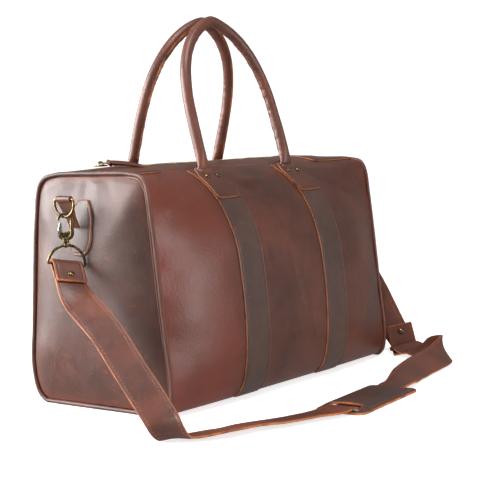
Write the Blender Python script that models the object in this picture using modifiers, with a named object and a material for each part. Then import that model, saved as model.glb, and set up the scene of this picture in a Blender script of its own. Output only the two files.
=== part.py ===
"""Leather duffel bag with two rolled handles, a zipped mouth and a shoulder strap lying on the floor.

Metres, +Z up. The origin is the middle of the flat base, +X runs along the bag and -Y is its front.
"""
import math

import bmesh
import bpy
from mathutils import Matrix, Vector

# Body
HALF_LENGTH = 0.250            # middle to end seam
FLAT_HALF = 0.120              # the stretch of body that has one constant section
SWELL_POWER = 2.2
SKIN = 0.0020                  # leather thickness
GAP = 0.0003                   # clearance between sewn layers
# Half sections as (depth, height), from the middle of the base round to the middle of the top
MID_SECTION = ((0, 0), (0.055, 0), (0.104, 0), (0.130, 0.016), (0.1415, 0.055), (0.1435, 0.105),
               (0.1385, 0.155), (0.128, 0.205), (0.1075, 0.250), (0.079, 0.280), (0.045, 0.2985),
               (0, 0.306))
END_SECTION = ((0, 0), (0.050, 0), (0.096, 0), (0.1185, 0.009), (0.1230, 0.042), (0.1170, 0.095),
               (0.1112, 0.145), (0.1072, 0.195), (0.0995, 0.242), (0.0820, 0.283), (0.045, 0.2965),
               (0, 0.2985))
# The rear of each end is tucked in more than the front, and its lower corner is rounder
REAR_END_SECTION = ((0, 0), (0.045, 0), (0.080, 0), (0.103, 0.014), (0.1115, 0.048), (0.1085, 0.095),
                    (0.1045, 0.145), (0.1020, 0.195), (0.0960, 0.242), (0.0800, 0.283),
                    (0.045, 0.2965), (0, 0.2985))
TOP = len(MID_SECTION) - 1     # section parameter at the middle of the top
MOUTH = 10.0                   # section parameter at the edge of the mouth
# End panels
PANEL_MIDDLE = 0.150           # height of the panel's centre
PANEL_INSET = 0.0034
PILLOW = 0.0235
PILLOW_POWER = 3.2
PIPING_X = 0.2525
PIPING_RADIUS = 0.0028
# Bands, tabs and handles
BAND_SHIFT = -0.004            # bands and handles sit a little towards the left
BAND_X = 0.0943
BAND_WIDTH = 0.0515
BAND_LEATHER = 0.0018
TAB_LENGTHS = (8.25, 8.5, 9, 9.375, 9.75)
HANDLE_X = 0.095
HANDLE_FOOT = 0.3014
HANDLE_RISE = 0.1961
HANDLE_FOOT_Y = 0.0622
HANDLE_TOP_Y = 0.0080
HANDLE_RADIUS = 0.0075
HANDLE_LEATHER = 0.0016
CORE_RADIUS = 0.0050
RIVET_RADIUS = 0.0034
# Zip
FLAP_HALF = 0.175
TEETH_PITCH = 0.014
SLIDER_X = -0.230
SLIDER_Z = 0.3068
PULL_TURN = math.radians(-33.5)
PULL_DROOP = math.radians(3)
PULL_LENGTH = 0.0485
LINK_LENGTH = 0.0125
# Strap hardware
HARDWARE_X = 0.2980
BAR_Z = 0.270                  # straight bar of each D-ring
D_RADIUS = 0.016
D_CENTRE_Z = 0.264
D_WIRE = 0.0016
LOOP_WIDTH = 0.023
HOOK_TURN = math.radians(-45)
HOOK_HALF = 0.0082
HOOK_WIRE = 0.0015
HOOK_TOP = 0.2440
HOOK_FOOT = 0.2290
BARREL_Z = 0.2190
RING_Z = 0.1897                # bar of each strap ring
RING_RADIUS = 0.0236
RING_WIRE = 0.0015
# Strap
STRAP_WIDTH = 0.038
FOLD_LENGTH = 0.032            # strap taken up by the fold where it reaches the floor
UNROLLED = 10                  # degrees by which the fold leaves the near edge raised
STRAP_LEATHER = 0.0034
FOLD_LIFT = 0.0032             # the fold's raised edge keeps its middle this much higher
FLOOR_LIFT = 0.0022            # strap's middle layer when it lies on the floor
WRAP = 0.00375                 # middle layer of the strap round a ring's bar
LEFT_BAR = Vector((0.865, -0.475, -0.163)).normalized()     # the strap pulls the left ring askew
RIGHT_BAR = Vector((0.6, -0.8, 0))
LEAVE = Vector((-0.4852, -0.7069, -0.5146)).normalized()    # way the strap leaves that ring
DROP = Vector((-0.122, -0.706, -0.698)).normalized()        # and goes on down to the floor
DROP_FACE = Vector((-0.720, -0.353, 0.597))       # way the dropping strap's outer face looks
ADJUSTER_A = Vector((0.2943, -0.1326, 0.0104))
ADJUSTER_B = Vector((0.2785, -0.1433, 0.0102))
ADJUSTER_ALONG = Vector((0.560, -0.803, 0.204))
SHORT_HEADING = Vector((-0.052, -0.277, -0.959))  # way the short strap comes down to the adjuster
PAD_CENTRE = Vector((-0.044, -0.2725, 0))
PAD_TURN = math.radians(5)
PAD_HALF_LENGTH = 0.083
PAD_HALF_WIDTH = 0.034
PAD_LEATHER = 0.0032
SLOT_X = 0.0635
SLOT_HALF_LENGTH = 0.0070
SLOT_HALF_WIDTH = 0.0215

BROWN = (0.105, 0.038, 0.022)
DARK_BROWN = (0.060, 0.030, 0.020)
CANVAS = (0.300, 0.230, 0.150)
BOARD = (0.080, 0.075, 0.070)
BRASS = (0.360, 0.260, 0.120)


def clear_scene():
    for item in list(bpy.data.objects):
        bpy.data.objects.remove(item, do_unlink=True)


def collection(name):
    group = bpy.data.collections.new(name)
    bpy.context.scene.collection.children.link(group)
    return group


def material(name, colour, roughness, metallic=0.0):
    finish = bpy.data.materials.new(name)
    finish.use_nodes = True
    shader = finish.node_tree.nodes["Principled BSDF"]
    shader.inputs["Base Color"].default_value = (*colour, 1)
    shader.inputs["Roughness"].default_value = roughness
    shader.inputs["Metallic"].default_value = metallic
    return finish


def add_object(name, data, finish, parent=None):
    item = bpy.data.objects.new(name, data)
    data.materials.append(finish)
    PARTS.objects.link(item)
    item.parent = parent
    return item


def pivot(name, location, rotation=(0, 0, 0)):
    empty = bpy.data.objects.new(name, None)
    empty.location = location
    empty.rotation_euler = rotation
    PARTS.objects.link(empty)
    return empty


def as_cutter(item):
    PARTS.objects.unlink(item)
    CUTTERS.objects.link(item)
    item.hide_render = True
    item.display_type = "WIRE"
    return item


def boolean(item, other, operation):
    step = item.modifiers.new(operation.lower(), "BOOLEAN")
    step.operation = operation
    step.object = as_cutter(other)


def as_mesh(item):
    """Turn a curve object into a welded mesh object of the same name."""
    bpy.context.view_layer.update()
    evaluated = item.evaluated_get(bpy.context.evaluated_depsgraph_get())
    data = bpy.data.meshes.new_from_object(evaluated)
    welded = bmesh.new()
    welded.from_mesh(data)
    bmesh.ops.remove_doubles(welded, verts=welded.verts, dist=1e-5)
    bmesh.ops.recalc_face_normals(welded, faces=welded.faces)
    welded.to_mesh(data)
    welded.free()
    name = item.name
    place = item.matrix_world.copy()
    parent = item.parent
    bpy.data.objects.remove(item, do_unlink=True)
    result = bpy.data.objects.new(name, data)
    PARTS.objects.link(result)
    result.parent = parent
    result.matrix_world = place
    return result


def smooth_curve(points, t):
    """Catmull-Rom point at t on a list of vectors whose first and last entries only set the end slopes."""
    index = min(int(t), len(points) - 4)
    a, b, c, d = points[index:index + 4]
    u = t - index
    return 0.5 * (2 * b + (c - a) * u + (2 * a - 5 * b + 4 * c - d) * u * u
                  + (3 * b - a - 3 * c + d) * u * u * u)


def swell(x):
    """1 over the constant stretch of the body, falling to 0 at the end seams."""
    beyond = (abs(x) - FLAT_HALF) / (HALF_LENGTH - FLAT_HALF)
    return 1 - min(max(beyond, 0), 1) ** SWELL_POWER


def section_point(x, t):
    """Skin at station x; t runs 0 at the base, TOP at the top by the front, and on down the rear."""
    t = (t + TOP) % (2 * TOP) - TOP
    blend = swell(x)
    ends = END_SECTION if t >= 0 else REAR_END_SECTION
    half = [Vector(end).lerp(Vector(mid), blend) for end, mid in zip(ends, MID_SECTION)]
    points = [Vector((-half[1].x, half[1].y)), *half, Vector((-half[-2].x, half[-2].y))]
    depth, height = smooth_curve(points, abs(t))
    return Vector((x, -depth if t >= 0 else depth, max(height, 0)))


def skin_point(x, t, height):
    """Point `height` above the skin."""
    along = section_point(x + 0.001, t) - section_point(x - 0.001, t)
    around = section_point(x, t + 0.01) - section_point(x, t - 0.01)
    return section_point(x, t) + along.cross(around).normalized() * height


def steps(start, end, count):
    return [start + (end - start) * index / count for index in range(count + 1)]


def mapped_grid(us, vs, place, keep=None):
    """Grid primitive whose lines are set at us and vs and then mapped by place(u, v)."""
    grid = bmesh.new()
    bmesh.ops.create_grid(grid, x_segments=len(us) - 1, y_segments=len(vs) - 1, size=0.5)
    columns = len(us) - 1
    rows = len(vs) - 1
    if keep:
        dropped = []
        for face in grid.faces:
            middle = face.calc_center_median()
            if not keep(int((middle.x + 0.5) * columns), int((middle.y + 0.5) * rows)):
                dropped.append(face)
        bmesh.ops.delete(grid, geom=dropped, context="FACES")
    for vertex in grid.verts:
        u = us[round((vertex.co.x + 0.5) * columns)]
        v = vs[round((vertex.co.y + 0.5) * rows)]
        vertex.co = place(u, v)
    bmesh.ops.remove_doubles(grid, verts=grid.verts, dist=1e-5)
    return grid


def shell(name, grid, thickness, outward, finish, parent=None):
    """Open surface made solid by Solidify, growing away from the side that `outward` points to."""
    grid.normal_update()
    face = max(grid.faces, key=lambda item: item.calc_area())
    if face.normal.dot(outward(face.calc_center_median())) < 0:
        bmesh.ops.reverse_faces(grid, faces=grid.faces)
    data = bpy.data.meshes.new(name)
    grid.to_mesh(data)
    grid.free()
    item = add_object(name, data, finish, parent)
    solid = item.modifiers.new("thickness", "SOLIDIFY")
    solid.thickness = thickness
    solid.offset = -1
    solid.use_even_offset = True
    if parent:
        item.matrix_parent_inverse = parent.matrix_world.inverted()
    return item


def from_axis(point):
    """Direction from the bag's long axis to a point."""
    return Vector((0, point.y, point.z - PANEL_MIDDLE))


def skin_sheet(name, xs, ts, outside, thickness, finish, narrow=None, parent=None):
    """Leather sheet that follows the skin, its outer face `outside` above it."""
    middle = (xs[0] + xs[-1]) / 2

    def place(x, t):
        width = narrow(t) if narrow else 1
        return skin_point(middle + (x - middle) * width, t, outside)

    return shell(name, mapped_grid(xs, ts, place), thickness, from_axis, finish, parent)


def wire(name, points, radius, finish, cyclic=False, caps=True, parent=None):
    """Round wire or tube along a list of points."""
    data = bpy.data.curves.new(name, "CURVE")
    data.dimensions = "3D"
    data.bevel_depth = radius
    data.bevel_resolution = 2
    data.use_fill_caps = caps
    spline = data.splines.new("POLY")
    spline.points.add(len(points) - 1)
    for target, point in zip(spline.points, points):
        target.co = (*point, 1)
    spline.use_cyclic_u = cyclic
    return add_object(name, data, finish, parent)


def arc(centre, radius, start, end, count, across=Vector((1, 0, 0)), up=Vector((0, 0, 1))):
    """Points on an arc, with angles in degrees from `across` towards `up`."""
    angles = [math.radians(angle) for angle in steps(start, end, count)]
    return [centre + radius * (math.cos(a) * across + math.sin(a) * up) for a in angles]


# Body ---------------------------------------------------------------------------------------------

def body_wrap():
    half = (0, 0.120, 0.155, 0.190, 0.220, 0.240, 0.249)
    xs = [-x for x in half[:0:-1]] + list(half)
    skin_sheet("body_wrap", xs, steps(-MOUTH, MOUTH, 40), 0, SKIN, LEATHER)


def lining():
    half = (0, 0.120, 0.155, 0.190, 0.220, 0.2455)
    xs = [-x for x in half[:0:-1]] + list(half)
    skin_sheet("lining", xs, steps(-9, 9, 18), -SKIN - 0.0006, 0.0008, CLOTH)


def seam_point(t):
    """Centre of the piped seam, which rests its roll on the floor along the base."""
    point = section_point(HALF_LENGTH, t)
    return Vector((point.x, point.y, max(point.z, PIPING_RADIUS)))


def panel_point(side, radius, t, depth):
    """Point of an end panel, at a fraction `radius` of the way from its middle to its rim."""
    rim = seam_point(t)
    arm = Vector((rim.y, rim.z - PANEL_MIDDLE))
    arm *= radius * (1 - PANEL_INSET / arm.length)
    swelling = PILLOW * (1 - radius ** PILLOW_POWER)
    return Vector((side * (HALF_LENGTH + 0.0005 + swelling - depth), arm.x, PANEL_MIDDLE + arm.y))


def panel_swelling(y, z):
    """How far an end panel stands out of its seam at (y, z)."""
    aim = Vector((y, z - PANEL_MIDDLE))
    if aim.length < 1e-6:
        return PILLOW
    best = 0
    outline = [seam_point(t) for t in steps(-TOP, TOP, 88)]
    for start, end in zip(outline, outline[1:]):
        a = Vector((start.y, start.z - PANEL_MIDDLE))
        b = Vector((end.y, end.z - PANEL_MIDDLE))
        across = aim.x * (b.y - a.y) - aim.y * (b.x - a.x)
        if abs(across) < 1e-12:
            continue
        reach = (a.x * (b.y - a.y) - a.y * (b.x - a.x)) / across
        share = (a.x * aim.y - a.y * aim.x) / across
        if reach > 0 and 0 <= share <= 1:
            best = reach
    radius = 1 / (best * (1 - PANEL_INSET / (best * aim.length)))
    return PILLOW * (1 - min(radius, 1) ** PILLOW_POWER)


def end_panels():
    radii = (0, 0.40, 0.66, 0.85, 1)
    lining_radii = (0, 0.66, 1)
    around = steps(-TOP, TOP, 44)
    for side, label in SIDES:
        def outward(point, side=side):
            return Vector((side, 0, 0))

        def panel(radius, t, side=side):
            return panel_point(side, radius, t, 0)

        def inner(radius, t, side=side):
            return panel_point(side, radius, t, 0.0036)

        shell(f"{label}_end_panel", mapped_grid(radii, around, panel), SKIN, outward, LEATHER)
        cloth = mapped_grid(lining_radii, steps(-TOP, TOP, 22), inner)
        shell(f"{label}_end_lining", cloth, 0.0008, outward, CLOTH)
        seam = [seam_point(t) for t in around[:-1]]
        roll = [Vector((side * PIPING_X, point.y, point.z)) for point in seam]
        wire(f"{label}_piping", roll, PIPING_RADIUS, LEATHER, cyclic=True)


def base_board():
    block("base_board", (0.460, 0.156, 0.0030), (0, 0, 0.0058), STIFFENER)


def bands_and_tabs():
    def tab_width(t):
        return 1 if t < 9.2 else 1 - 0.50 * (t - 9.2) / 0.55

    band_lengths = [2.5 + 0.5 * index for index in range(15)] + [9.75]
    rivet = rivet_mesh(RIVET_RADIUS)
    for face, face_label in ((1, "front"), (-1, "rear")):
        for side, label in SIDES:
            centre = side * BAND_X + BAND_SHIFT
            xs = (centre - BAND_WIDTH / 2, centre, centre + BAND_WIDTH / 2)
            name = f"{face_label}_{label}"
            ts = [face * t for t in band_lengths]
            skin_sheet(f"{name}_band", xs, ts, GAP + BAND_LEATHER, BAND_LEATHER, BAND)
            xs = (centre - 0.025, centre, centre + 0.025)
            ts = [face * t for t in TAB_LENGTHS]
            top = 2 * GAP + BAND_LEATHER + SKIN
            skin_sheet(f"{name}_handle_tab", xs, ts, top, SKIN, LEATHER, tab_width)
            for number, spread in ((1, -0.011), (2, 0.011)):
                foot = skin_point(centre + spread, face * 9.20, top + 0.0006)
                head = skin_point(centre + spread, face * 9.20, top + 0.0106)
                item = add_object(f"{name}_rivet_{number}", rivet.copy(), METAL)
                item.location = foot
                item.rotation_mode = "QUATERNION"
                item.rotation_quaternion = (head - foot).to_track_quat("Z", "Y")


def rivet_mesh(radius):
    """Domed rivet cap that stands on z = 0."""
    cap = bmesh.new()
    bmesh.ops.create_uvsphere(cap, u_segments=12, v_segments=6, radius=radius)
    low = [vertex for vertex in cap.verts if vertex.co.z < -1e-6]
    bmesh.ops.delete(cap, geom=low, context="VERTS")
    bmesh.ops.holes_fill(cap, edges=cap.edges)
    bmesh.ops.scale(cap, vec=(1, 1, 0.45), verts=cap.verts)
    bmesh.ops.recalc_face_normals(cap, faces=cap.faces)
    data = bpy.data.meshes.new("rivet")
    cap.to_mesh(data)
    cap.free()
    return data


# Handles ------------------------------------------------------------------------------------------

def handle_path(face):
    """Centre line of a handle; it leans in until the two handles all but touch at the top."""
    path = []
    for share in steps(0, 1, 22):
        angle = math.pi * (0.5 - 0.5 * math.cos(math.pi * share))
        across = math.copysign(abs(math.cos(angle)) ** 1.4264, math.cos(angle))
        rise = abs(math.sin(angle)) ** 0.5035
        depth = HANDLE_FOOT_Y + (HANDLE_TOP_Y - HANDLE_FOOT_Y) * rise
        path.append(Vector((BAND_SHIFT - HANDLE_X * across, -face * depth, HANDLE_FOOT + HANDLE_RISE * rise)))
    return path


def handles():
    for face, label in ((1, "front"), (-1, "rear")):
        swing = pivot(f"{label}_handle_pivot", (0, -face * HANDLE_FOOT_Y, 0.310))
        path = [point - swing.location for point in handle_path(face)]
        cover = wire(f"{label}_handle_cover", path, HANDLE_RADIUS, LEATHER, caps=False, parent=swing)
        wall = cover.modifiers.new("thickness", "SOLIDIFY")
        wall.thickness = HANDLE_LEATHER
        wall.offset = -1
        wire(f"{label}_handle_core", path[1:-1], CORE_RADIUS, ROPE, parent=swing)


# Mouth and zip ------------------------------------------------------------------------------------

def mouth_flaps():
    xs = steps(-FLAP_HALF, FLAP_HALF, 10)
    for face, label in ((1, "front"), (-1, "rear")):
        facing = [face * t for t in (10.03, 10.25, 10.5, 10.75, 10.86)]
        tape = [face * t for t in (10.3, 10.5, 10.75, 10.93)]
        skin_sheet(f"{label}_zip_facing", xs, facing, 0, BAND_LEATHER, LEATHER)
        skin_sheet(f"{label}_zip_tape", xs, tape, -BAND_LEATHER - 0.0004, 0.0006, CLOTH)
        teeth(face, label)


def teeth(face, label):
    """One side of the zip as a comb: a spine with a tooth in every pitch."""
    shift = 0 if face > 0 else TEETH_PITCH / 2
    xs = []
    for index in range(24):
        start = shift - 12 * TEETH_PITCH + index * TEETH_PITCH
        xs += [start, start + 0.0064]
    ys = (0.0036, 0.0017, -0.0012)

    def place(x, y):
        height = section_point(x, TOP).z - 0.0002
        return Vector((x, -face * y, height))

    def keep(column, row):
        return row == 0 or column % 2 == 0

    def outward(point):
        return Vector((0, 0, 1))

    shell(f"{label}_zip_teeth", mapped_grid(xs, ys, place, keep), 0.0014, outward, METAL)


def zip_ends():
    around = [9.85, 10, 10.5, 11, 11.5, 12, 12.15]
    for side, label in SIDES:
        xs = [side * x for x in (0.1765, 0.190, 0.220, 0.240, 0.2475)]
        skin_sheet(f"{label}_zip_end", xs, around, GAP + BAND_LEATHER, BAND_LEATHER, LEATHER)


def block(name, size, centre, finish, bevel=0.0):
    """Box with rounded edges."""
    box = bmesh.new()
    bmesh.ops.create_cube(box, size=1)
    bmesh.ops.scale(box, vec=size, verts=box.verts)
    bmesh.ops.translate(box, vec=centre, verts=box.verts)
    data = bpy.data.meshes.new(name)
    box.to_mesh(data)
    box.free()
    item = add_object(name, data, finish)
    if bevel:
        edges = item.modifiers.new("round", "BEVEL")
        edges.width = bevel
        edges.segments = 2
    return item


def zip_slider():
    ride = pivot("zip_slide", (SLIDER_X, 0, SLIDER_Z))
    body = block("zip_slider", (0.018, 0.009, 0.0026), (0, 0, 0.0013), METAL, 0.0008)
    crown = block("slider_crown", (0.009, 0.0026, 0.0046), (0, 0, 0.0043), METAL)
    eye = block("slider_eye", (0.0050, 0.0060, 0.0026), (0, 0, 0.0041), METAL)
    for item in (body, crown, eye):
        item.parent = ride
    boolean(body, crown, "UNION")
    boolean(body, eye, "DIFFERENCE")
    turn = pivot("zip_pull_pivot", (SLIDER_X, 0, SLIDER_Z + 0.0042), (0, 0, PULL_TURN))
    reach = LINK_LENGTH
    link = [(reach, 0.0088), (reach - 0.0040, 0.0088), (0, 0.0014), (0, -0.0014),
            (reach - 0.0040, -0.0088), (reach, -0.0088)]
    points = [Vector((x - 0.0007, y, 0)) for x, y in link]
    wire("zip_pull_link", points, 0.0007, METAL, True, parent=turn)
    tab = looped_strip("zip_pull_tab", 0.0027, 0.00115, 0.0014, PULL_LENGTH, 0.0150)
    tab.parent = turn
    tab.location = (LINK_LENGTH - 0.0007, 0, 0)
    tab.rotation_euler = (math.radians(90), PULL_DROOP, 0)


def looped_strip(name, outer, hole, half_thickness, length, width):
    """Leather folded round a bar: seen from the side, an eye with a straight tail along +X."""
    data = bpy.data.curves.new(name, "CURVE")
    data.dimensions = "2D"
    data.fill_mode = "BOTH"
    data.extrude = width / 2
    opening = math.degrees(math.asin(half_thickness / outer))
    up = Vector((0, 1, 0))
    outline = arc(Vector((0, 0, 0)), outer, opening, 360 - opening, 16, up=up)
    outline += [Vector((length, -half_thickness, 0)), Vector((length, half_thickness, 0))]
    for ring in (outline, arc(Vector((0, 0, 0)), hole, 0, 330, 11, up=up)):
        spline = data.splines.new("POLY")
        spline.points.add(len(ring) - 1)
        for target, point in zip(spline.points, ring):
            target.co = (*point, 1)
        spline.use_cyclic_u = True
    return add_object(name, data, LEATHER)


# Strap hardware -----------------------------------------------------------------------------------

def chapes():
    """Shield-shaped patches on the end panels, each with a leather loop for its D-ring."""
    heights = steps(0.267, 0.198, 8)

    def half_width(z):
        share = (0.267 - z) / 0.069
        shoulder = 0.65 + 0.35 * math.sin(min(share / 0.35, 1) * math.pi / 2)
        toe = max(share - 0.65, 0) / 0.35
        return 0.020 * shoulder * math.sqrt(1 - 0.85 * toe * toe)

    for side, label in SIDES:
        def place(share, z, side=side):
            y = share * half_width(z)
            return Vector((side * (HALF_LENGTH + 0.0005 + panel_swelling(y, z) + 0.0026), y, z))

        def outward(point, side=side):
            return Vector((side, 0, 0))

        grid = mapped_grid(steps(-1, 1, 4), heights, place)
        shell(f"{label}_chape", grid, SKIN, outward, LEATHER)
        tail = Vector((side * 0.2803, 0, 0.233))
        bar = Vector((side * HARDWARE_X, 0, BAR_Z))
        loop = looped_strip(f"{label}_ring_loop", 0.0042, 0.0022, 0.0013, (tail - bar).length, LOOP_WIDTH)
        aim = (tail - bar).normalized()
        level = Vector((0, 1, 0))
        loop.matrix_world = Matrix((aim, level.cross(aim), level)).transposed().to_4x4()
        loop.location = bar


def d_rings():
    across = Vector((0, 1, 0))
    for side, label in SIDES:
        hinge = pivot(f"{label}_d_ring_pivot", (side * HARDWARE_X, 0, BAR_Z))
        drop = Vector((0, 0, D_CENTRE_Z - BAR_Z))
        points = arc(drop, D_RADIUS, 180, 360, 16, across)
        points += [Vector((0, D_RADIUS, -0.0030)), Vector((0, D_RADIUS - 0.0025, 0))]
        points += [Vector((0, 0.0025 - D_RADIUS, 0)), Vector((0, -D_RADIUS, -0.0030))]
        wire(f"{label}_d_ring", points, D_WIRE, METAL, cyclic=True, parent=hinge)


def snap_hooks():
    """Hook frame with a bored barrel below, and a gate that closes its open side."""
    gap_top = HOOK_TOP - 0.0005
    for side, label in SIDES:
        swivel = pivot(f"{label}_hook_pivot", (side * HARDWARE_X, 0, 0), (0, 0, HOOK_TURN))
        path = arc(Vector((0, 0, HOOK_FOOT)), HOOK_HALF, 200, 360, 9)
        path += arc(Vector((0, 0, HOOK_TOP)), HOOK_HALF, 0, 180, 12)
        path.append(Vector((-HOOK_HALF, 0, gap_top - 0.0015)))
        frame = as_mesh(wire(f"{label}_snap_hook", path, HOOK_WIRE, METAL, parent=swivel))
        barrel = cylinder("barrel", 0.0036, 0.0070, (0, 0, BARREL_Z + 0.0005))
        bore = cylinder("bore", 0.0019, 0.0060, (0, 0, BARREL_Z - 0.0030))
        for item in (barrel, bore):
            item.parent = swivel
        boolean(frame, barrel, "UNION")
        boolean(frame, bore, "DIFFERENCE")
        gate = block(f"{label}_gate", (0.0022, 0.0040, 0.0120), (-HOOK_HALF, 0, 0.2345), METAL, 0.0005)
        gate.parent = swivel


def cylinder(name, radius, depth, centre, segments=16):
    rod = bmesh.new()
    bmesh.ops.create_cone(rod, cap_ends=True, segments=segments, radius1=radius, radius2=radius,
                          depth=depth)
    bmesh.ops.translate(rod, vec=centre, verts=rod.verts)
    data = bpy.data.meshes.new(name)
    rod.to_mesh(data)
    rod.free()
    return add_object(name, data, METAL)


def strap_rings():
    """Half-round rings whose posts turn in the hooks' barrels."""
    for side, label in SIDES:
        centre = Vector((side * HARDWARE_X, 0, RING_Z))
        along = LEFT_BAR if side < 0 else RIGHT_BAR
        up = (Vector((0, 0, 1)) - along * along.z).normalized()
        points = arc(centre, RING_RADIUS, 180, 0, 16, along, up)
        ring = as_mesh(wire(f"{label}_strap_ring", points, RING_WIRE, METAL, cyclic=True))
        post = cylinder("post", 0.00145, 0.0050, centre + Vector((0, 0, RING_RADIUS + 0.0025)))
        boolean(ring, post, "UNION")
        ball = bmesh.new()
        bmesh.ops.create_uvsphere(ball, u_segments=12, v_segments=8, radius=0.0024)
        data = bpy.data.meshes.new("ball")
        ball.to_mesh(data)
        ball.free()
        knob = add_object("ball", data, METAL)
        knob.location = centre + Vector((0, 0, RING_RADIUS))
        boolean(ring, knob, "UNION")


# Strap --------------------------------------------------------------------------------------------

def turned(stations, length, axis, degrees, count):
    """Carry the last station on along its own heading while it bends about a fixed axis."""
    centre, heading, width = (item.copy() for item in stations[-1])
    for _ in range(count):
        turn = Matrix.Rotation(math.radians(degrees) / count / 2, 3, axis)
        heading = turn @ heading
        width = turn @ width
        centre = centre + heading * (length / count)
        heading = turn @ heading
        width = turn @ width
        stations.append((centre.copy(), heading.copy(), width.copy()))


def strap_left():
    """Folded end, round the left ring's bar, down to the floor and over a soft diagonal fold."""
    bar = Vector((-HARDWARE_X, 0, RING_Z))
    face = LEAVE.cross(LEFT_BAR)
    stations = [(bar + face * WRAP + LEAVE * 0.0345, -LEAVE, -LEFT_BAR)]
    turned(stations, 0.0345, LEFT_BAR, 0, 2)
    turned(stations, math.pi * WRAP, LEFT_BAR, 180, 6)
    turned(stations, 0.034, LEFT_BAR, 0, 2)
    side = DROP_FACE.cross(DROP).normalized()
    start = Matrix((LEAVE, -LEFT_BAR, -face)).transposed()
    end = Matrix((DROP, -side, side.cross(DROP))).transposed()
    bend = (end @ start.inverted()).to_quaternion()
    turned(stations, 0.040, bend.axis, math.degrees(bend.angle), 5)
    heading, width = stations[-1][1:]
    normal = heading.cross(width)
    axis = normal.cross(Vector((0, 0, 1))).normalized()
    roll = math.degrees(normal.angle(Vector((0, 0, 1)))) - UNROLLED
    fold = [stations[-1]]
    turned(fold, FOLD_LENGTH, axis, roll, 9)
    fall = fold[0][0].z - fold[-1][0].z
    straight = (stations[-1][0].z - fall - FLOOR_LIFT - FOLD_LIFT) / -heading.z
    turned(stations, straight, axis, 0, 2)
    turned(stations, FOLD_LENGTH, axis, roll, 9)
    return [(centre, across) for centre, heading, across in stations]


def strap_right():
    """Along the floor, under the pad, up on its edge, round a fold and into the adjuster."""
    flat = FLOOR_LIFT
    pad = Matrix.Rotation(PAD_TURN, 3, "Z")
    stations = [((-0.284, -0.2265, 0.0060), (0.08, 0.985, -0.15)),
                ((-0.247, -0.2350, 0.0055), (0.24, 0.96, -0.13)),
                ((-0.209, -0.2530, 0.0050), (0.42, 0.90, -0.10)),
                ((-0.167, -0.2670, 0.0050), (0.15, 0.98, -0.10))]
    for x, z in ((-0.090, 0.0066), (-0.076, 0.0066), (-0.067, 0.0055), (-0.058, 0.0030),
                 (-0.048, flat), (0, flat), (0.048, flat), (0.058, 0.0030), (0.067, 0.0055),
                 (0.076, 0.0066), (0.090, 0.0070)):
        stations.append((PAD_CENTRE + pad @ Vector((x, 0, z)), pad @ Vector((0, 1, 0))))
    stations += [((0.086, -0.2560, 0.0112), (-0.10, 0.90, 0.42)),
                 ((0.130, -0.2490, 0.0134), (-0.12, 0.82, 0.56)),
                 ((0.175, -0.2430, 0.0140), (-0.12, 0.80, 0.59)),
                 ((0.218, -0.2370, 0.0160), (-0.05, 0.74, 0.67)),
                 ((0.245, -0.2270, 0.0188), (0.25, 0.55, 0.79)),
                 ((0.256, -0.2070, 0.0184), (0.55, 0.20, 0.81)),
                 ((0.257, -0.1870, 0.0160), (0.72, -0.25, 0.64)),
                 ((0.264, -0.1670, 0.0120), (0.68, -0.68, 0.28))]
    return [(Vector(centre), Vector(across).normalized()) for centre, across in stations]


def bar_loop(bar, along, towards, tail, back):
    """Stations of a strap that comes in over `towards`, rounds a bar and runs back under itself."""
    out = along.cross(towards).normalized()
    over = [(bar - towards * back + out * WRAP, along)]
    for angle in (0, 45, 90, 135, 180):
        turn = math.radians(angle)
        over.append((bar + WRAP * (math.cos(turn) * out + math.sin(turn) * towards), along))
    over.append((bar - towards * tail / 2 - out * WRAP, along))
    over.append((bar - towards * tail - out * WRAP, along))
    return over


def ribbon(name, stations, finish):
    """Flat strap along stations of centre and edge-to-edge direction."""
    centres = [station[0] for station in stations]
    across = [station[1] for station in stations]
    lead = [2 * centres[0] - centres[1], *centres, 2 * centres[-1] - centres[-2]]

    def frame(index):
        heading = (lead[index + 2] - lead[index]).normalized()
        side = across[index] - heading * across[index].dot(heading)
        return heading, side.normalized()

    def place(index, share):
        heading, side = frame(index)
        face = heading.cross(side)
        return centres[index] + side * share * STRAP_WIDTH / 2 + face * STRAP_LEATHER / 2

    def outward(point):
        nearest = min(range(len(centres)), key=lambda index: (centres[index] - point).length)
        heading, side = frame(nearest)
        return heading.cross(side)

    grid = mapped_grid(range(len(stations)), (-1, 1), place)
    return shell(name, grid, STRAP_LEATHER, outward, finish)


def short_strap_stations():
    """Folded end, round the right ring's bar, down beside the bag and up round the adjuster."""
    bar = Vector((HARDWARE_X, 0, RING_Z))
    up = Vector((0, 0, 1))
    back = Vector((0, 0, 1)).cross(RIGHT_BAR)
    stations = [(bar + back * WRAP - up * drop, RIGHT_BAR) for drop in (0.028, 0.012, 0.003)]
    stations += [(point, RIGHT_BAR) for point in arc(bar, WRAP, 0, 150, 5, back)]
    slant = Vector((0.583, -0.728, 0.364))
    stations += [(Vector((0.2942, -0.0100, 0.1782)), RIGHT_BAR),
                 (Vector((0.2970, -0.0320, 0.156)), RIGHT_BAR.lerp(slant, 0.5)),
                 (Vector((0.2975, -0.0560, 0.128)), slant),
                 (Vector((0.2975, -0.0790, 0.096)), slant),
                 (Vector((0.2975, -0.0985, 0.062)), slant),
                 (Vector((0.2970, -0.1130, 0.036)), ADJUSTER_ALONG.lerp(slant, 0.5))]
    out = ADJUSTER_ALONG.cross(SHORT_HEADING).normalized()
    stations += [(point, ADJUSTER_ALONG) for point in arc(ADJUSTER_A, WRAP, 0, 180, 6, out, SHORT_HEADING)]
    for rise in (0.015, 0.032):
        stations.append((ADJUSTER_A - out * WRAP - SHORT_HEADING * rise, ADJUSTER_ALONG))
    return stations


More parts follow.
